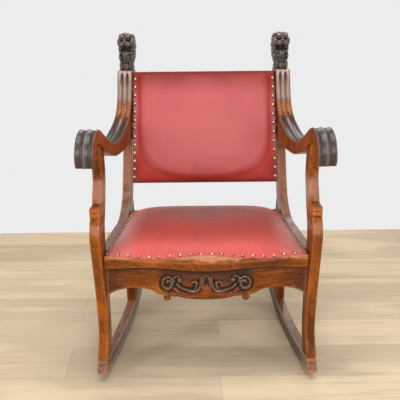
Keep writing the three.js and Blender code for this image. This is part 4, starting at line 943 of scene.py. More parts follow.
# %% Working copies
EASE_STEPS = 3
HOLLOW_STEPS = 9
HOLLOW_DEPTH = 0.00055
WORN_HEIGHT = 0.0007


def merged_copy(name):
    form = bmesh.new()
    form.from_mesh(nodes[name].data)
    bmesh.ops.remove_doubles(form, verts=form.verts, dist=1e-6)
    return written(form, bpy.data.meshes.new(name + "_copy"))


def remeshed(mesh, voxel, ease_steps=EASE_STEPS):
    block = placed("block", mesh)
    even = block.modifiers.new("even", "REMESH")
    even.mode = "VOXEL"
    even.voxel_size = voxel
    ease = block.modifiers.new("ease", "SMOOTH")
    ease.factor = 0.5
    ease.iterations = ease_steps
    result = bpy.data.meshes.new_from_object(block.evaluated_get(bpy.context.evaluated_depsgraph_get()))
    bpy.data.objects.remove(block)
    return result


def read_vectors(values, key):
    result = np.empty(len(values) * 3)
    values.foreach_get(key, result)
    return result.reshape(-1, 3)


def points_of(mesh):
    return read_vectors(mesh.vertices, "co")


def normals_of(mesh):
    return read_vectors(mesh.vertex_normals, "vector")


def move_points(mesh, values):
    mesh.vertices.foreach_set("co", np.ascontiguousarray(values, dtype=np.float32).ravel())
    mesh.update()


def smoothed(mesh, values, steps):
    edges = np.empty(len(mesh.edges) * 2, dtype=np.int64)
    mesh.edges.foreach_get("vertices", edges)
    ends = edges.reshape(-1, 2)
    count = np.bincount(edges, minlength=len(values))[:, None].astype(float)
    for _ in range(steps):
        total = np.zeros_like(values)
        np.add.at(total, ends[:, 0], values[ends[:, 1]])
        np.add.at(total, ends[:, 1], values[ends[:, 0]])
        values = 0.5 * values + 0.5 * total / count
    return values


def mark_relief(mesh, depth=HOLLOW_DEPTH, height=WORN_HEIGHT, steps=HOLLOW_STEPS):
    points = points_of(mesh)
    below = ((smoothed(mesh, points, steps) - points) * normals_of(mesh)).sum(axis=1)
    write_attribute(mesh, "hollow", below / depth)
    write_attribute(mesh, "wear_and_sheen", -below / height)


def shown(name, mesh, material, replaced=()):
    mesh.name = name
    mesh.materials.clear()
    mesh.materials.append(material)
    mesh.shade_smooth()
    piece = placed(name, mesh)
    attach(piece, "root")
    if replaced:
        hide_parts(*replaced)
    print(name, len(mesh.polygons), "faces")
    return piece


def mirrored(mesh):
    other = mesh.copy()
    other.transform(Matrix.Scale(-1, 4, (1, 0, 0)))
    other.flip_normals()
    return other


# The right side frame's own plane: x through the plank, y back, z up
PLANE_START = np.array((FRONT_HALF, -PLANE_SHIFT, 0))
PLANE_AXES = np.array(((math.cos(SPLAY), -math.sin(SPLAY), 0),
                       (math.sin(SPLAY), math.cos(SPLAY), 0), (0, 0, 1)))


def to_plane(points):
    return turned_to_plane(points - PLANE_START)


def from_plane(points):
    return PLANE_START + points @ PLANE_AXES.T


def turned_to_plane(directions):
    return directions @ PLANE_AXES


print("workbench ready")

# %% [markdown]
# ## Legs, rails and runners
# These four are plain sawn planks, so easing is all that they need. Each is made once, for the right side,
# and mirrored for the left, as the maker would have cut them in pairs. The runners' inner faces are
# darkened with painted shade, the right one most.

# %% Sawn pieces of the side frames
SAWN = {"front_leg": (0.0017, "up", "oak"), "rear_leg": (0.0019, "up", "dark_oak"),
        "side_rail": (0.0018, "rail", "oak"), "runner": (0.0018, "back", "dark_oak")}
# Painted shade on the runners' inner faces, from behind the toe back, darker on the right
INNER_SHADE = {"left": 0.5, "right": 1.0}
SHADE_START = (-0.30, -0.18)
for part, (voxel, grain, slot) in SAWN.items():
    right = remeshed(merged_copy("right_" + part), voxel)
    mark_relief(right)
    inward = -turned_to_plane(normals_of(right))[:, 0]
    inner = ramp(inward, 0.4, 0.8) * ramp(points_of(right)[:, 1], *SHADE_START)
    for side, mesh in (("left", mirrored(right)), ("right", right)):
        # A runner's inner faces are darkened as painted shade
        if part == "runner":
            write_attribute(mesh, "darkened", INNER_SHADE[side] * inner)
        shown(side + "_" + part + "_worn", mesh, oaks[side + "_" + grain], [side + "_" + part])

# %% [markdown]
# ## The arm and post
# Arm and post are one thick plank, sawn to an S. Its front and top are reeded and stained nearly black, its
# sides are orange. The solid's reeded face is made of flats, so we draw its outline as an even curve and set
# the copy's points as deep under it as the flutes are. Down the post hangs a leaf of three long lobes. There
# we read where the face lies at each height, and set its points to the leaf's depth: a groove between the
# lobes, veins that meet in Vs, rows of beads, and tips that stand proud before they end.

# %% Reeded face
ARM_VOXEL = 0.0015
ARM_CORNER = (-0.074, 0.610)
ARM_SIZE = (0.586, 0.212)
reeded_shares = [
    (0.899, 1.02), (0.889, 0.873), (0.878, 0.717), (0.86, 0.571), (0.826, 0.443), (0.783, 0.363),
    (0.737, 0.311), (0.683, 0.269), (0.621, 0.231), (0.56, 0.215), (0.469, 0.226), (0.38, 0.283),
    (0.3, 0.377), (0.22, 0.5), (0.16, 0.587), (0.115, 0.618), (0.065, 0.59), (0.025, 0.505),
    (0.003, 0.382), (0, 0.283), (0.01, 0.2)]
REED_DEPTH = 0.004
EASED_EDGE = 0.002
ARM_TAPER = (0.55, 0.85)
TAPER_DEPTH = 0.004
RIDGE_SOFTNESS = 0.03
POST_TOP = 0.8215
FACE_TOP = 0.816
TOP_STAIN = (0.8165, 0.8195)
STAIN_REACH = (0.0055, 0.0075)
SIDE_TURN = (0.55, 0.85)
FLUTE_TOLERANCE = 0.003


def spline(points, steps=10, straight_ends=False):
    """An even curve through points, as the part's source draws it."""
    points = np.array(points, float)
    padded = np.vstack((points[0], points, points[-1]))
    if straight_ends:
        padded[0], padded[-1] = 2 * points[0] - points[1], 2 * points[-1] - points[-2]
    path = []
    for a, b, c, d in zip(padded, padded[1:], padded[2:], padded[3:]):
        for step in range(steps):
            t = step / steps
            path.append(0.5 * (2 * b + (c - a) * t + (2 * a - 5 * b + 4 * c - d) * t * t
                               + (3 * b - a - 3 * c + d) * t ** 3))
    return np.array(path + [points[-1]])


def distance_to_line(points, line):
    nearest = np.full(len(points), np.inf)
    for start, end in zip(line[:-1], line[1:]):
        along = end - start
        share = np.clip(((points - start) @ along) / (along @ along), 0, 1)[:, None]
        nearest = np.minimum(nearest, np.linalg.norm(points - start - share * along, axis=1))
    return nearest


def cut_flat(mesh, level):
    """Cuts off all that is above a level and closes the cut."""
    form = bmesh.new()
    form.from_mesh(mesh)
    everything = form.verts[:] + form.edges[:] + form.faces[:]
    plane = {"plane_co": (0, 0, level), "plane_no": (0, 0, 1)}
    done = bmesh.ops.bisect_plane(form, geom=everything, clear_outer=True, **plane)
    rim = [part for part in done["geom_cut"] if isinstance(part, bmesh.types.BMEdge)]
    bmesh.ops.contextual_create(form, geom=rim)
    return written(form, mesh)


reeded_line = spline([(ARM_CORNER[0] + a * ARM_SIZE[0], ARM_CORNER[1] + b * ARM_SIZE[1])
                      for a, b in reeded_shares], 12)
arm = remeshed(cut_flat(merged_copy("right_post_arm"), POST_TOP), ARM_VOXEL)
arm_points = to_plane(points_of(arm))
arm_x, arm_y, arm_z = arm_points.T
arm_normals = turned_to_plane(normals_of(arm))
off_line = distance_to_line(arm_points[:, 1:], reeded_line)
darkened = (1 - ramp(off_line, *STAIN_REACH)) * (1 - ramp(np.abs(arm_normals[:, 0]), *SIDE_TURN))
darkened = np.maximum(darkened, ramp(arm_z, *TOP_STAIN))

# Each point of the face, with its nearest point on the curve, how deep it lies there and how deep a flute is
face_points = np.nonzero((darkened > 0) & (arm_z < FACE_TOP))[0]
tangents = np.gradient(reeded_line, axis=0)
inward = np.column_stack((-tangents[:, 1], tangents[:, 0])) / np.linalg.norm(tangents, axis=1, keepdims=True)
from_curve = arm_points[face_points][:, None, 1:] - reeded_line[None]
nearest = np.argmin((from_curve ** 2).sum(axis=2), axis=1)
inward = inward[nearest]
sunk = (from_curve[np.arange(len(face_points)), nearest] * inward).sum(axis=1)
share_back = (arm_y[face_points] - ARM_CORNER[0]) / ARM_SIZE[0]
width = 2 * ARM_HALF_WIDTH - TAPER_DEPTH * ramp(share_back, *ARM_TAPER)
place = (arm_x[face_points] + ARM_HALF_WIDTH - EASED_EDGE) / (width - 2 * EASED_EDGE)
wave = np.sin(2 * math.pi * np.clip(place, 0, 1))
fluted = REED_DEPTH * (np.sqrt(wave ** 2 + RIDGE_SOFTNESS) - math.sqrt(RIDGE_SOFTNESS))
share_set = darkened[face_points] * ramp(place, 0.0, 0.05) * (1 - ramp(place, 0.95, 1.0))
share_set *= np.abs(fluted - sunk) < FLUTE_TOLERANCE
arm_points[face_points, 1:] += (share_set * (fluted - sunk))[:, None] * inward
arm_points += (smoothed(arm, arm_points, 4) - arm_points) * darkened[:, None]
print("face points set:", int((share_set > 0.5).sum()), "of", len(face_points))
print("arm:", len(arm_points), "points,", int(darkened.sum()), "on the reeded face")

# %% Leaf on the post
LEAF_TOP = 0.821
LEAF_LENGTH = 0.133
LEAF_MIDDLE = -0.00225
LEAF_HALF = 0.0225
LOBE_GROOVE = 0.0034
BEAD_HEIGHT = 0.0011
BEAD_ROWS = 17
VEIN_DEPTH = 0.0006
VEINS = 9
TIP_RISE = 0.0014
CREST_RISE = 0.0006
ARCH_PLACE, ARCH_REACH, ARCH_HEIGHT, ARCH_DEPTH = 0.0082, 0.0066, 0.016, 0.0014
POST_START = 0.33
LINE_HALF = 0.0013
LINE_LEVELS = (0.655, 0.832, 0.003)

# Where the face lies at each height, along the middle of the post
middle = (np.abs(arm_x) < LINE_HALF) & (arm_normals[:, 1] < -0.3) & (arm_z > 0.65)
middle &= (off_line < 0.004) & (arm_y > POST_START)
levels = np.arange(*LINE_LEVELS)
level_of = np.digitize(arm_z[middle], levels)
face_levels, face_line = [], []
for k in range(1, len(levels)):
    here = arm_points[middle][level_of == k]
    if len(here):
        face_levels.append(here[:, 2].mean())
        face_line.append(here[:, 1].min())

# The leaf's relief, from its three lobes across and its length down
across = (arm_x - LEAF_MIDDLE) / LEAF_HALF
down = (LEAF_TOP - arm_z) / LEAF_LENGTH
lobe = np.abs(((across * 1.5 + 0.5) % 1) - 0.5) * 2
tip = 0.90 + 0.09 * np.abs(np.cos(1.5 * math.pi * across)) ** 0.7
depth = 0.0002 + LOBE_GROOVE * lobe ** 2.4 * (1 - 0.35 * ramp(down, 0.6, 0.95))
depth += VEIN_DEPTH * (0.5 + 0.5 * np.sin(2 * math.pi * (down * VEINS + lobe * 2.2))) * ramp(down, 0.12, 0.3)
depth -= CREST_RISE * np.exp(-(lobe / 0.14) ** 2) * ramp(down, 0.04, 0.12)
beaded = ramp(down, 0.66, 0.74) * (1 - ramp(down, 0.95, 1.0))
bead_turn = math.pi * (down * BEAD_ROWS + 0.3 * np.cos(3 * across))
beads = beaded * np.abs(np.sin(2.5 * math.pi * across) * np.sin(bead_turn))
depth -= BEAD_HEIGHT * beads
depth -= TIP_RISE * np.exp(-((tip - down - 0.07) / 0.05) ** 2)
above_arch = np.maximum(0, arm_z - LEAF_TOP + 0.020)
beside_arch = np.abs(arm_x - LEAF_MIDDLE) - ARCH_PLACE
from_arch = np.hypot(beside_arch / ARCH_REACH, above_arch / ARCH_HEIGHT)
arched = (1 - ramp(from_arch, 0.55, 1.0)) * (1 - ramp(down, 0.16, 0.40))
depth += ARCH_DEPTH * arched
face = np.interp(arm_z, face_levels, face_line)
on_leaf = (arm_normals[:, 1] < -0.25) & (arm_y < face + 0.008) & (down > -0.02)
on_leaf &= arm_y > POST_START
weight = on_leaf * (1 - ramp(down - tip, -0.012, 0.012)) * (1 - ramp(np.abs(across), 0.93, 1.0))
arm_y += weight * (face + depth - arm_y)
move_points(arm, from_plane(arm_points))
mark_relief(arm)

# %% Stain, wear and painted sheen on the reeded face
LEAF_STAIN = 0.36
on_post = ramp(arm_y, 0.30, 0.36)
leafy = on_post * (1 - ramp(down, 0.97, 1.03)) * (down > -0.03)
beyond = 1 - leafy
flute = np.abs(np.sin(math.pi * arm_x / ARM_HALF_WIDTH)) ** 1.2
rim = ramp(np.abs(arm_x) / ARM_HALF_WIDTH, 0.84, 0.96)

# Dark: the flutes, the grooves between the lobes, most at both ends of the leaf, and its two arches
top_hollow = 1 - ramp(down, 0.10, 0.32)
groove = ramp(lobe, 0.62, 0.96) * (0.30 + 0.70 * np.maximum(top_hollow, 0.5 * ramp(down, 0.90, 0.97)))
hollow = read_attribute(arm, "hollow")
hollow = np.maximum(hollow * (1 - 0.6 * (darkened > 0.2) * beyond), darkened * flute * 0.55 * beyond)
hollow = np.maximum(hollow, darkened * leafy * groove * 0.95)
hollow = np.maximum(hollow, 0.62 * darkened * leafy * arched)
write_attribute(arm, "hollow", hollow)

# Rubbed: the ridges between the flutes, the crests of the lobes, the rims of the arches and the beads, which on
# the black face paints a grey sheen
wear_and_sheen = read_attribute(arm, "wear_and_sheen")
ridge = (1 - flute) ** 2.5
wear_and_sheen = np.maximum(wear_and_sheen * (1 - darkened), darkened * beyond * ridge * (0.22 + 0.78 * on_post))
wear_and_sheen *= 1 - 0.7 * rim * beyond
crest = (1 - lobe) ** 0.5 * (1 - 0.75 * ramp(down, 0.58, 0.76))
arch_rim = np.exp(-((from_arch - 1.10) / 0.16) ** 2) * (1 - ramp(down, 0.25, 0.4))
crest = np.maximum(crest, arch_rim) * (1 - 0.9 * arched)
wear_and_sheen = np.maximum(wear_and_sheen * (1 - 0.6 * leafy), darkened * leafy * crest)
write_attribute(arm, "wear_and_sheen", np.maximum(wear_and_sheen, darkened * leafy * beads))

# Stained: the whole face, less on the leaf and least at its lower end
leaf_end = leafy * ramp(down, 0.60, 0.78)
paler = (0.10 + LEAF_STAIN * ramp(down, 0.06, 0.30)) * leafy + 0.28 * (on_post - leafy)
write_attribute(arm, "darkened", darkened * (1 - 0.90 * leaf_end) * (0.97 - paler))


def face_values(mesh, values):
    """The mean of a value over the corners of each face."""
    corners = np.empty(len(mesh.loops), dtype=np.int64)
    mesh.loops.foreach_get("vertex_index", corners)
    sizes = np.empty(len(mesh.polygons), dtype=np.int64)
    mesh.polygons.foreach_get("loop_total", sizes)
    return np.add.reduceat(values[corners], np.concatenate(([0], np.cumsum(sizes)[:-1]))) / sizes


def use_finishes(piece, finishes, choice):
    """Gives each face one of the piece's finishes, by number."""
    for finish in finishes:
        piece.data.materials.append(finish)
    piece.data.polygons.foreach_set("material_index", np.ascontiguousarray(choice, dtype=np.int32))


bare = darkened < 0.2
for side, mesh in (("left", mirrored(arm)), ("right", arm)):
    piece = shown(side + "_arm_and_post", mesh, oaks[side + "_arm"], [side + "_post_arm"])
    on_side = face_values(mesh, bare.astype(float)) > 0.5
    on_stile = face_values(mesh, on_post) > 0.5
    choice = np.where(on_side, 1, np.where(on_stile, 2, 0))
    use_finishes(piece, [oaks[side + "_up"], oaks[side + "_post"]], choice)
print("leaf depth up to", round(float(depth[weight > 0.5].max()) * 1000, 1), "mm")

# %% [markdown]
# ## Two lion heads
# A carved lion head stands on each post: a low brow, a blunt muzzle with swollen whisker pads, an open
# mouth, and a mane that runs down over the chest to the leaf. We model it as a carver in clay would, with
# round lumps pressed together, let the voxel remesh make one skin of them, and then cut the strands of the
# mane, the eyes, the nostrils, the mouth and the whisker dots into that skin. The numbers are millimetres
# from the middle of the neck, with the face towards -Y.

# %% Lumps of the head
HEAD_VOXEL = 0.00095
HEAD_MIDDLE = (-0.005, 0.4841, 0.820)
BALL_DETAIL = 3
# Place and radii of each lump
middle_lumps = [
    (0, 8, 84, 25, 27, 27), (0, 13, 52, 26.5, 22, 46), (0, 8, 34, 23, 23, 36), (0, 3, 10, 22.5, 28, 21),
    (0, -15, 84, 17, 17, 10.5), (0, -22, 98, 5.6, 13, 8.5), (0, -33, 91.5, 6.4, 4.6, 4.2),
    (0, -14, 55, 16, 15.5, 6.8), (0, -26, 51.5, 8.5, 6, 6.0), (0, -12, 62.5, 9.5, 13, 3.2),
    (0, -2, 108, 17.5, 17, 8.0), (0, -18, 109, 7, 6, 5.5), (0, 22, 92, 25, 13, 19), (0, 25, 58, 25, 11, 34)]
paired_lumps = [
    (9.2, -27, 83.5, 10.0, 9.6, 8.4), (9.5, -20, 106.5, 9.5, 8.5, 4.2), (10, -21.5, 99.5, 4.4, 4.6, 3.8),
    (19, -9, 87, 8.8, 15, 15), (19, 2, 66, 8.0, 14, 17), (19.5, 4, 103, 6.0, 6, 8.0),
    (7.2, -27, 73.5, 2.1, 2.1, 5.0), (5.6, -26, 63.5, 1.9, 1.9, 4.2), (14, -9, 15, 8, 18, 20),
    (19, -2, 42, 6.5, 15, 15), (22, 6, 78, 5.5, 16, 22), (16, -14, 55, 5.0, 9, 6.0)]


def tufts():
    """Locks that frame the face, each a short chain of shrinking balls."""
    locks = []
    for row, (back, reach, count) in enumerate(((-4, 22.5, 11), (5, 24.5, 12), (15, 24.0, 12))):
        for k in range(count):
            turn = math.radians(-150 + 300 * (k + 0.5 * (row % 2)) / (count - 1))
            side, rise = math.sin(turn), math.cos(turn)
            for link in range(4):
                out = reach + 1.2 * math.sin(math.pi * link / 3)
                locks.append((out * side, back + 3.6 * link, 76 + (out + 9) * rise - 1.6 * link * abs(side),
                              *(4.3 - 0.75 * link,) * 3))
    return [lock for lock in locks if lock[2] < 110]


def clay(lumps):
    form = bmesh.new()
    for x, y, z, *radii in lumps:
        size = Matrix.Diagonal([*(r / 1000 for r in radii), 1])
        place = Matrix.Translation([v / 1000 for v in (x, y, z)]) @ size
        bmesh.ops.create_icosphere(form, subdivisions=BALL_DETAIL, radius=1, matrix=place)
    return written(form, bpy.data.meshes.new("clay"))


lumps = middle_lumps + tufts()
for x, *rest in paired_lumps:
    lumps += [(x, *rest), (-x, *rest)]
head = remeshed(clay(lumps), HEAD_VOXEL, 2)
print("head:", len(lumps), "lumps,", len(head.vertices), "points")

# %% Cuts in the head
STRANDS = 24
STRAND_DEPTH = 1.9
MOUTH_DEPTH = 5.0
HEAD_TOP, HEAD_FOOT, HEAD_HALF = 115.4, -2.0, 28.6
shape = points_of(head) * 1000
facing = normals_of(head)
x, y, z = shape.T
on_face = 1 - ramp(np.sqrt((x / 21) ** 2 + ((z - 80) / 35) ** 2), 0.86, 1.04)
on_face *= 1 - ramp(y, -12, -3)
turn = np.arctan2(x, z - 78)
phase = turn * STRANDS + 1.5 * np.sin(0.21 * (y + 0.6 * z)) + 0.8 * np.sin(0.5 * y)
strands = 1 - np.abs(np.sin(phase / 2)) ** 0.7
cut = (STRAND_DEPTH * strands + 0.35 * np.abs(np.sin(1.9 * phase + 0.3 * y))) * (1 - on_face)
# Centre, reach and depth of the nostril, both corners of the eye, the pupil and the fold of the cheek, which
# come in pairs, and then of the furrows in the muzzle and the brow and the line under the chin
paired_dents = [((3.4, -37.5, 90.5), 2.0, 2.4), ((4.8, -27, 99), 2.6, 1.8), ((15.4, -20, 99), 2.8, 1.6),
                ((10, -26, 99.5), 1.3, 0.9), ((13, -30, 93.5), (4.5, 6, 1.6), 1.2)]
paired_dents += [((6.5 + 3.6 * dot, -35.5 + 1.7 * dot, 87 - 2.9 * row), 1.0, 0.8)
                 for row in range(3) for dot in range(3)]
dents = [((side * across, *place), reach, deep)
         for side in (-1, 1) for (across, *place), reach, deep in paired_dents]
dents += [((0, -37, 85.0), (1.2, 4, 5.5), 1.8), ((0, -24, 105), (1.7, 5, 6), 1.4),
          ((0, -27, 45.5), (7, 5, 2.0), 1.5)]
for centre, reach, deep in dents:
    cut += deep * np.exp(-np.linalg.norm((shape - np.array(centre)) / reach, axis=1) ** 2)
cut += MOUTH_DEPTH * np.exp(-((x / 15) ** 4 + ((z - 67.5) / 4.6) ** 4)) * (1 - ramp(y, -18, -8))
cut -= 0.5 * np.sin(1.3 * z + 0.25 * np.abs(x)) * on_face * ramp(z, 98, 104) * (1 - ramp(z, 110, 113))
shape -= facing * cut[:, None]
shape[:, 2] = np.clip(shape[:, 2], HEAD_FOOT, HEAD_TOP)
shape[:, 0] = np.clip(shape[:, 0], -HEAD_HALF, HEAD_HALF)
plane = shape / 1000 + np.array(HEAD_MIDDLE)
move_points(head, from_plane(plane))
mark_relief(head, 0.00032, 0.0006, 7)
# The open mouth and the hollow under the chin are painted dark as shade
mouth = np.exp(-(((x / 20) ** 4 + ((y + 16) / 17) ** 4 + ((z - 67.5) / 6.8) ** 4)))
throat = 0.7 * np.exp(-(((x / 12) ** 2 + ((y + 16) / 14) ** 2 + ((z - 38) / 7) ** 2)))
write_attribute(head, "hollow", np.maximum(read_attribute(head, "hollow"), np.maximum(mouth * 1.2, throat)))
# The head's raised parts paint a grey sheen, none in the mouth and throat
write_attribute(head, "wear_and_sheen", 0.55 * read_attribute(head, "wear_and_sheen") * (1 - np.clip(mouth + throat, 0, 1)))
chest = 1 - ramp(z, 26, 36)
write_attribute(head, "darkened", 0.92 - 0.45 * chest)
for side, mesh in (("left", mirrored(head)), ("right", head)):
    shown(side + "_lion_head", mesh, oaks["dark"])
print("head height", round(float(np.ptp(plane[:, 2])), 3), "m")

# %% [markdown]
# ## The apron and its scrolls
# The board under the seat has two volutes, each with a bead beside it and a leafy scroll that runs to the
# middle, where a small fan opens. The carver lowered and punched the ground around them, which is now
# black. Each stroke of the gouge is a path with a width and a rounded section, so we add them up as heights
# on a fine grid, keep only the part of the grid that stands up, and close it behind. The board itself is a
# worked copy of its solid, painted dark along its top as the shadow of the seat's front rail.

# %% Strokes of the carving
APRON_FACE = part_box("apron")[0].y
APRON_FOOT = SEAT_LEVEL - 0.1443
CARVED_CELL = 0.0008
CARVED_REACH = (0.134, 0.233, 0.318)


def spiral(centre, start, turns, size, end_size, rise=1.16, steps=90):
    path = []
    for k in range(steps + 1):
        share = k / steps
        angle = start + turns * 2 * math.pi * share
        reach = size + (end_size - size) * share ** 2.2
        path.append((centre[0] + reach * math.cos(angle), centre[1] + rise * reach * math.sin(angle)))
    return path


def smooth_path(*points):
    return spline(points, straight_ends=True)


# Each stroke: its path, its half width at the start, middle and end, and its height
strokes = [
    (spiral((107.5, 287.5), math.radians(165), -1.30, 17.0, 4.5), (3.2, 5.2, 4.6), 5.6),
    ([(74.2, 295.6), (74.6, 295.7)], (7.4, 7.4, 7.4), 5.4),
    (smooth_path((94, 298), (88.5, 306), (81.5, 309), (75, 306)), (1.8, 3.2, 1.8), 4.0),
    (smooth_path((82, 284), (74, 275.5), (61, 269.5), (47, 264.5), (35, 261.5), (26.0, 264.5), (19.5, 274),
                  (15.5, 288), (13.2, 304)), (3.0, 6.4, 2.8), 5.8),
    (smooth_path((42, 288), (34, 291.5), (28.5, 288), (28.2, 279), (32.5, 271.5)), (2.6, 4.8, 2.4), 4.8),
    (smooth_path((86, 263), (70, 258.5), (50, 254.5)), (1.0, 2.6, 1.0), 2.2),
    (smooth_path((6.2, 306), (8.0, 295), (9.8, 282), (12.4, 268)), (1.4, 3.0, 1.2), 3.0),
    ([(110.5, 243.6), (110.7, 243.7)], (9.2, 9.2, 9.2), 4.2),
    ([(101.5, 253.5), (101.7, 253.5)], (4.2, 4.2, 4.2), 3.0),
]
rim_band = (smooth_path((97, 258.5), (80, 251.0), (55, 246.0), (28, 243.5), (0, 242.8)), (2.5, 5.2, 5.4), 2.4)
SCALLOP = 8.5


def stroke_height(x, z, path, widths, height):
    """The height of one stroke, with a round section, over points in millimetres."""
    path = np.array(path, float)
    points = np.column_stack((x, z))
    best = np.zeros(len(points))
    count = max(1, len(path) - 1)
    for k, (start, end) in enumerate(zip(path[:-1], path[1:])):
        share = (k + 0.5) / count
        width = np.interp(share, (0, 0.5, 1), widths)
        near = np.abs(points - (start + end) / 2).max(axis=1) < width + 6
        along = end - start
        part = np.clip(((points[near] - start) @ along) / max(along @ along, 1e-9), 0, 1)[:, None]
        away = np.linalg.norm(points[near] - start - part * along, axis=1) / width
        best[near] = np.maximum(best[near], height * np.sqrt(np.clip(1 - away ** 2, 0, 1)))
    return best


def carved_height(x, z):
    x, total = np.abs(x), np.zeros(len(x))
    for path, widths, height in strokes:
        total = np.maximum(total, stroke_height(x, z, path, widths, height))
    scallops = 0.55 + 0.45 * np.abs(np.cos(math.pi * x / SCALLOP))
    return np.maximum(total, stroke_height(x, z, *rim_band) * scallops)


reach, low, high = CARVED_REACH
columns = int(2 * reach / CARVED_CELL) + 1
levels = int((high - low) / CARVED_CELL) + 1
grid_x, grid_z = np.meshgrid(np.linspace(-reach, reach, columns), np.linspace(low, high, levels))
heights = carved_height(grid_x.ravel() * 1000, grid_z.ravel() * 1000).reshape(grid_x.shape) / 1000
raised = heights > 0
for _ in range(2):
    wider = raised.copy()
    wider[1:] |= raised[:-1]
    wider[:-1] |= raised[1:]
    wider[:, 1:] |= raised[:, :-1]
    wider[:, :-1] |= raised[:, 1:]
    raised = wider
print("carving:", int(raised.sum()), "points, up to", round(float(heights.max()) * 1000, 1), "mm high")


# %% Closed relief and worked apron
CARVED_ROOT = 0.004
SUNK = 0.0008
APRON_VOXEL = 0.0017
# How far round a point we look for carving, in millimetres
NEAR_STEPS = ((8, 0), (-8, 0), (0, 8), (0, -8), (5, 5), (-5, 5), (5, -5), (-5, -5), (0, 0))


def closed_relief(name, front, back, kept):
    """A closed shell over the cells of a grid whose four corners are kept."""
    levels, columns = kept.shape
    cells = kept[:-1, :-1] & kept[1:, :-1] & kept[:-1, 1:] & kept[1:, 1:]
    half = levels * columns
    number = np.arange(half).reshape(levels, columns)
    faces, borders = [], {}
    for r, c in zip(*np.nonzero(cells)):
        corner = [int(number[r, c]), int(number[r, c + 1]), int(number[r + 1, c + 1]), int(number[r + 1, c])]
        faces += [corner, [k + half for k in reversed(corner)]]
        for a, b in zip(corner, corner[1:] + corner[:1]):
            if (b, a) in borders:
                del borders[(b, a)]
            else:
                borders[(a, b)] = True
    faces += [[b, a, a + half, b + half] for a, b in borders]
    return mesh_of(name, np.vstack((front, back)), faces, turn_out=False)


depths = np.where(heights > 0, APRON_FACE - heights, APRON_FACE + SUNK)
front = np.column_stack((grid_x.ravel(), depths.ravel(), grid_z.ravel()))
back = front.copy()
back[:, 1] = APRON_FACE + CARVED_ROOT
relief = closed_relief("apron_carving", front, back, raised)
eased = smoothed(relief, points_of(relief), 1)
move_points(relief, eased)
mark_relief(relief, 0.0006, 0.0005, 6)
in_field = ramp(eased[:, 2], 0.256, 0.266)
write_attribute(relief, "darkened", 0.06 + 0.62 * in_field)
# The tops of the strokes paint the varnish's glint in grey
write_attribute(relief, "wear_and_sheen", 0.45 * ramp(read_attribute(relief, "wear_and_sheen"), 0.55, 1.0) * in_field)
write_attribute(relief, "hollow", (1 - 0.3 * in_field) * read_attribute(relief, "hollow"))
piece = shown("apron_carving", relief, oaks["carving"])
use_finishes(piece, [oaks["across"]], face_values(relief, in_field) < 0.5)

apron = remeshed(merged_copy("apron"), APRON_VOXEL)
mark_relief(apron)
x, y, z = points_of(apron).T
on_front = y < APRON_FACE + 0.001
near = sum(carved_height(x[on_front] * 1000 + right, z[on_front] * 1000 + up) > 0 for right, up in NEAR_STEPS)
aside, above = np.abs(x), z - APRON_FOOT
ground = np.zeros(len(x))
ground[on_front] = np.clip(near / 3, 0, 1) * ramp(above[on_front], 0.018, 0.028)

# Black: the ground round the carving but for its middle, the board's ends and the field; along its top edge, a
# painted shadow under the seat's front rail
carved = 1 - (1 - ramp(aside, 0.010, 0.018)) * (1 - ramp(z, 0.270, 0.286))
punched = 0.9 * ramp(ground, 0.3, 1) * carved
write_attribute(apron, "hollow", np.maximum(read_attribute(apron, "hollow"), punched))
ends = 0.45 * ramp(aside, 0.205, 0.262)
# Painted shadow of the seat's front rail along the board's top
rail_shadow = 0.9 * ramp(above, 0.086, 0.104)
lower = np.interp(aside, (0.0, 0.03, 0.09, 0.125), (0.062, 0.036, 0.036, 0.052))
field = ramp(above, lower, lower + 0.022) * (1 - ramp(aside, 0.108, 0.150))
field *= 0.62 + 0.33 * ramp(above, 0.070, 0.095)
write_attribute(apron, "darkened", np.max((0.85 * ground * carved, ends, rail_shadow, field), axis=0))
shown("apron_board", apron, oaks["across"], ["apron"])
print("apron face at", round(APRON_FACE, 4), "stained ground", int((ground > 0.5).sum()), "points")

# %% [markdown]
# ## The front rail of the seat
# The rail under the hide is shaped in two directions. In plan it waves out and in, and its top falls away
# in a slope that is widest in the middle, where it shows as a pale crescent. No single outline holds that, so
# we lay sections side by side, one every few millimetres, and join them.

# %% Front rail
RAIL_SECTIONS = 150
RAIL_BACK = 0.078
RAIL_HEIGHT = 0.036
RAIL_VOXEL = 0.0015


def rail_section(share):
    guess = share * SEAT["half"](0.02)
    front = serpentine(guess)
    slope = eased_between(EDGE_SLOPES, guess)
    heights = [(front, -RAIL_HEIGHT), (front, -RAIL_HEIGHT / 2), (front, frame_top(guess, front))]
    heights += [(front + slope * k / 3, frame_top(guess, front + slope * k / 3)) for k in (1, 2, 3)]
    heights += [(RAIL_BACK, 0.0), (RAIL_BACK, -RAIL_HEIGHT)]
    return [seat_to_room(share * SEAT["half"](y), y, z) for y, z in heights]


sections = [rail_section(2 * k / RAIL_SECTIONS - 1) for k in range(RAIL_SECTIONS + 1)]
size = len(sections[0])
faces = [(k * size + j, k * size + (j + 1) % size, (k + 1) * size + (j + 1) % size, (k + 1) * size + j)
         for k in range(RAIL_SECTIONS) for j in range(size)]
faces += [tuple(reversed(range(size))), tuple(range(RAIL_SECTIONS * size, (RAIL_SECTIONS + 1) * size))]
rail = remeshed(mesh_of("rail", [p for section in sections for p in section], faces), RAIL_VOXEL)
mark_relief(rail)
shown("seat_front_edge", rail, oaks["ledge"], ["seat_front_rail"])

# %% [markdown]
# ## Webbing and burlap
# Under each pad, jute straps go over and under each other, and a sheet of burlap lies on them. Each strap is
# woven anew along the path of its solid: we read the heights at which the solid passes over or under, ease
# them, and give the strap thin, slightly wavy selvedges. The burlap sags a little between the straps. Both
# carry a "weave" attribute, in metres along and across, so the threads follow the cloth.

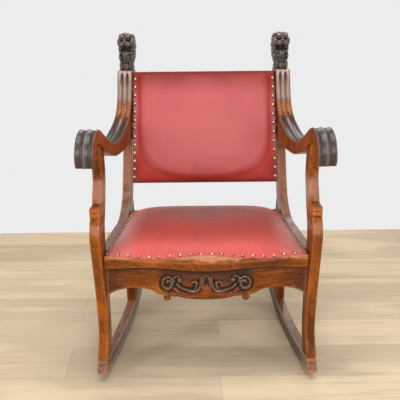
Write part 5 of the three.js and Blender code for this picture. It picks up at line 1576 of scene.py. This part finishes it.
# %% Straps
STRAP_STEP = 0.004
STRAP_COLUMNS = 10
STRAP_THICKNESS = 0.0015
SELVEDGE_WAVE = 0.0004
SELVEDGE_THIN = 0.22


def seat_plane(points):
    return np.column_stack((points[:, 0], points[:, 1] + PLANE_SHIFT, points[:, 2] - SEAT_LEVEL))


def back_plane(points):
    lean, rise = math.sin(BACK_RECLINE), math.cos(BACK_RECLINE)
    away, up = points[:, 1] + PLANE_SHIFT - BACK_FOOT[0], points[:, 2] - BACK_FOOT[1]
    return np.column_stack((points[:, 0], away * lean + up * rise, up * lean - away * rise))


def solid_points(name):
    flat = seat_plane if name.startswith("seat") else back_plane
    return flat(np.array([v.co for v in nodes[name].data.vertices]))


def thin_sheet(name, panel, upper, lower, rows, columns, weave=None):
    """A closed sheet from the points of its upper and lower faces, in the panel's plane."""
    if weave is None:
        weave = upper * (1, 1, 0)
    room = [panel["room"](*p) for p in np.vstack((upper, lower)).tolist()]
    mesh = mesh_of(name, room, sheet_faces(rows, columns)[1])
    threads = mesh.attributes.new("weave", "FLOAT_VECTOR", "POINT")
    threads.data.foreach_set("vector", np.vstack((weave, weave)).astype(np.float32).ravel())
    return mesh


def strap(name, panel):
    solid = solid_points(name)
    run, side = (0, 1) if "cross" in name else (1, 0)
    places = np.unique(np.round(solid[:, run], 5))
    lows = [solid[np.abs(solid[:, run] - p) < 1e-4, 2].min() for p in places]
    middle, half = (solid[:, side].max() + solid[:, side].min()) / 2, np.ptp(solid[:, side]) / 2
    rows = int(np.ptp(places) / STRAP_STEP) + 1
    upper, lower, weave = [], [], []
    for along in np.linspace(places[0], places[-1], rows):
        k = min(len(places) - 2, max(0, int(np.searchsorted(places, along, "right")) - 1))
        low = lows[k] + (lows[k + 1] - lows[k]) * float(ramp(along, places[k], places[k + 1]))
        width = half - SELVEDGE_WAVE * (1 + math.sin(along * 700))
        for share in np.linspace(-1, 1, STRAP_COLUMNS + 1):
            place = [0.0, 0.0]
            place[run], place[side] = along, middle + share * width
            thin = STRAP_THICKNESS * SELVEDGE_THIN * abs(share) ** 8
            upper.append((*place, low + STRAP_THICKNESS - thin))
            lower.append((*place, low + thin))
            weave.append((along, share * half, 0))
    mesh = thin_sheet(name, panel, np.array(upper), np.array(lower), rows, STRAP_COLUMNS + 1, np.array(weave))
    shown(name + "_jute", mesh, jute, [name])


for name in sorted(nodes):
    if "webbing" in name:
        strap(name, SEAT if name.startswith("seat") else BACK)


# %% Burlap
CLOTH_COLUMNS, CLOTH_ROWS = 72, 60
STRAP_HALF = 0.025
STRAP_EASE = 0.012
SAG = 0.0009


def outline_of(points):
    """Half widths and distances of a sheet's corners, and the middles of its front and rear edges."""
    right = points[points[:, 0] > 0.001]
    near, far = right[right[:, 1].argmin()], right[right[:, 1].argmax()]
    middle = points[np.abs(points[:, 0]) < 0.001, 1]
    return near, far, middle.min() if len(middle) else near[1], middle.max() if len(middle) else far[1]


def laid_points(outline, columns, rows):
    near, far, front, rear = outline
    points = []
    for along in np.linspace(0, 1, rows + 1):
        for across in np.linspace(-1, 1, columns + 1):
            start = front + (near[1] - front) * abs(across)
            y = start + (rear + (far[1] - rear) * abs(across) - start) * along
            half = np.interp(y, (near[1], far[1]), (near[0], far[0]))
            points.append((across * half, y))
    return np.array(points)


def flat_size(outline):
    """The width and length of the sheet when it is cut, and its area."""
    near, far, front, rear = outline
    ends = near[0] * abs(near[1] - front) + far[0] * abs(rear - far[1])
    area = (near[0] + far[0]) * (far[1] - near[1]) + ends
    return (2 * near[0], max(rear, far[1]) - min(front, near[1])), area


def strap_middles(start):
    spans = [solid_points(name) for name in nodes if name.startswith(start)]
    side = 1 if "cross" in start else 0
    return [(s[:, side].max() + s[:, side].min()) / 2 for s in spans]


def off_straps(values, middles):
    away = np.min([np.abs(values - m) for m in middles], axis=0)
    return ramp(away, STRAP_HALF, STRAP_HALF + STRAP_EASE)


for part, panel in (("seat", SEAT), ("back", BACK)):
    name = part + "_burlap"
    solid = solid_points(name)
    outline = outline_of(solid)
    flat = laid_points(outline, CLOTH_COLUMNS, CLOTH_ROWS)
    free = off_straps(flat[:, 0], strap_middles(part + "_webbing_long"))
    free = free * off_straps(flat[:, 1], strap_middles(part + "_webbing_cross"))
    low = solid[:, 2].min() - SAG * free
    lower, upper = np.column_stack((flat, low)), np.column_stack((flat, low + np.ptp(solid[:, 2])))
    mesh = thin_sheet(name, panel, upper, lower, CLOTH_ROWS + 1, CLOTH_COLUMNS + 1)
    piece = shown(name + "_cloth", mesh, burlap, [name])
    size, area = flat_size(outline)
    print(name, "cut", [round(v, 3) for v in size], "m, area", round(area, 4), "m2")

# %% [markdown]
# ## The hide behind the back
# A second hide closes the back's rear. It is stretched over the frame, so it sinks a little in the middle
# and puckers between its tacks, which run all the way round.

# %% Rear hide and its tacks
TACK_SPACING = 0.026
TACK_INSET = 0.0075
TACK_DIAMETER = 0.0075
TACK_HEIGHT = 0.0026
TACK_TILT = 0.08
TACK_SEED = 31
SUNKEN = 0.0035
PUCKER = 0.0005
REAR_HIDE, REAR_HIDE_LIFT = 0.0014, 0.0006
HIDE_COLUMNS, HIDE_ROWS = 130, 100

solid = solid_points("back_rear_leather")
outline = outline_of(solid)
flat = laid_points(outline, HIDE_COLUMNS, HIDE_ROWS)
near, far, front, rear = outline
share_x = np.abs(flat[:, 0]) / np.interp(flat[:, 1], (front, rear), (near[0], far[0]))
share_y = np.abs(2 * (flat[:, 1] - front) / (rear - front) - 1)
edge = np.minimum((1 - share_x) * near[0], (1 - share_y) * (rear - front) / 2)
sunken = SUNKEN * ramp(edge, 0.016, 0.075)
pucker = PUCKER * np.sin(2 * math.pi * flat.sum(axis=1) / TACK_SPACING) * np.exp(-((edge - 0.010) / 0.010) ** 2)
outer = solid[:, 2].min() + REAR_HIDE_LIFT + sunken + pucker * ramp(edge, 0.002, 0.008)
inner_face, outer_face = (np.column_stack((flat, height)) for height in (outer + REAR_HIDE, outer))
mesh = thin_sheet("rear_hide", BACK, inner_face, outer_face, HIDE_ROWS + 1, HIDE_COLUMNS + 1)
# The middle of the rear hide gets the back's pinker red, a painted sheen, and its rim is darker
write_attribute(mesh, "fullness", np.tile(0.25 + 0.5 * ramp(edge, 0.01, 0.09), 2))
write_attribute(mesh, "soiled_and_shaded", np.tile(0.6 * (1 - ramp(edge, 0.003, 0.014)), 2))
hide = shown("back_rear_hide", mesh, back_leather, ["back_rear_leather"])
size, area = flat_size(outline)
print("rear hide cut", [round(v, 3) for v in size], "m, area", round(area, 4), "m2")

ring = [(-near[0] + TACK_INSET, front + TACK_INSET), (near[0] - TACK_INSET, front + TACK_INSET),
        (far[0] - TACK_INSET, rear - TACK_INSET), (-far[0] + TACK_INSET, rear - TACK_INSET)]
sides = list(zip(ring, ring[1:] + ring[:1]))
path = [BACK["room"](*(np.array(a) + (np.array(b) - a) * k / 40), solid[:, 2].min() + 0.0004)
        for a, b in sides for k in range(40)]
values = {"Nails": round(sum(math.dist(a, b) for a, b in sides) / TACK_SPACING), "Diameter": TACK_DIAMETER,
          "Height": TACK_HEIGHT, "Facing": tuple(-v for v in back_facing), "Tilt": TACK_TILT, "Seed": TACK_SEED,
          "Finish": brass}
nail_row("back_rear_tacks", path, values, closed=True)

# %% [markdown]
# ## Finishes for the solids that stay
# The plain boards, blocks, screws and dowels keep their solid shape and get a finish by their names. A solid
# that has a piece in its place isn't shown, and any fitting finish does for it.

# %% Finish the solids
FINISHES = (("screw", steel), ("dowel", pine["across"]), ("webbing", jute), ("burlap", burlap),
            ("stuffing", burlap), ("leather", back_leather))


def finish_of(name):
    for word, finish in FINISHES:
        if word in name:
            return finish
    if name.startswith(("seat_", "back_")) or "cleat" in name:
        across = any(word in name for word in ("front", "rear", "top", "bottom"))
        return pine["up" if "stile" in name else "across" if across else "back"]
    return oaks["across"]


for name, node in nodes.items():
    node.data.materials.clear()
    node.data.materials.append(finish_of(name))
print("finished:", len(nodes), "solids")
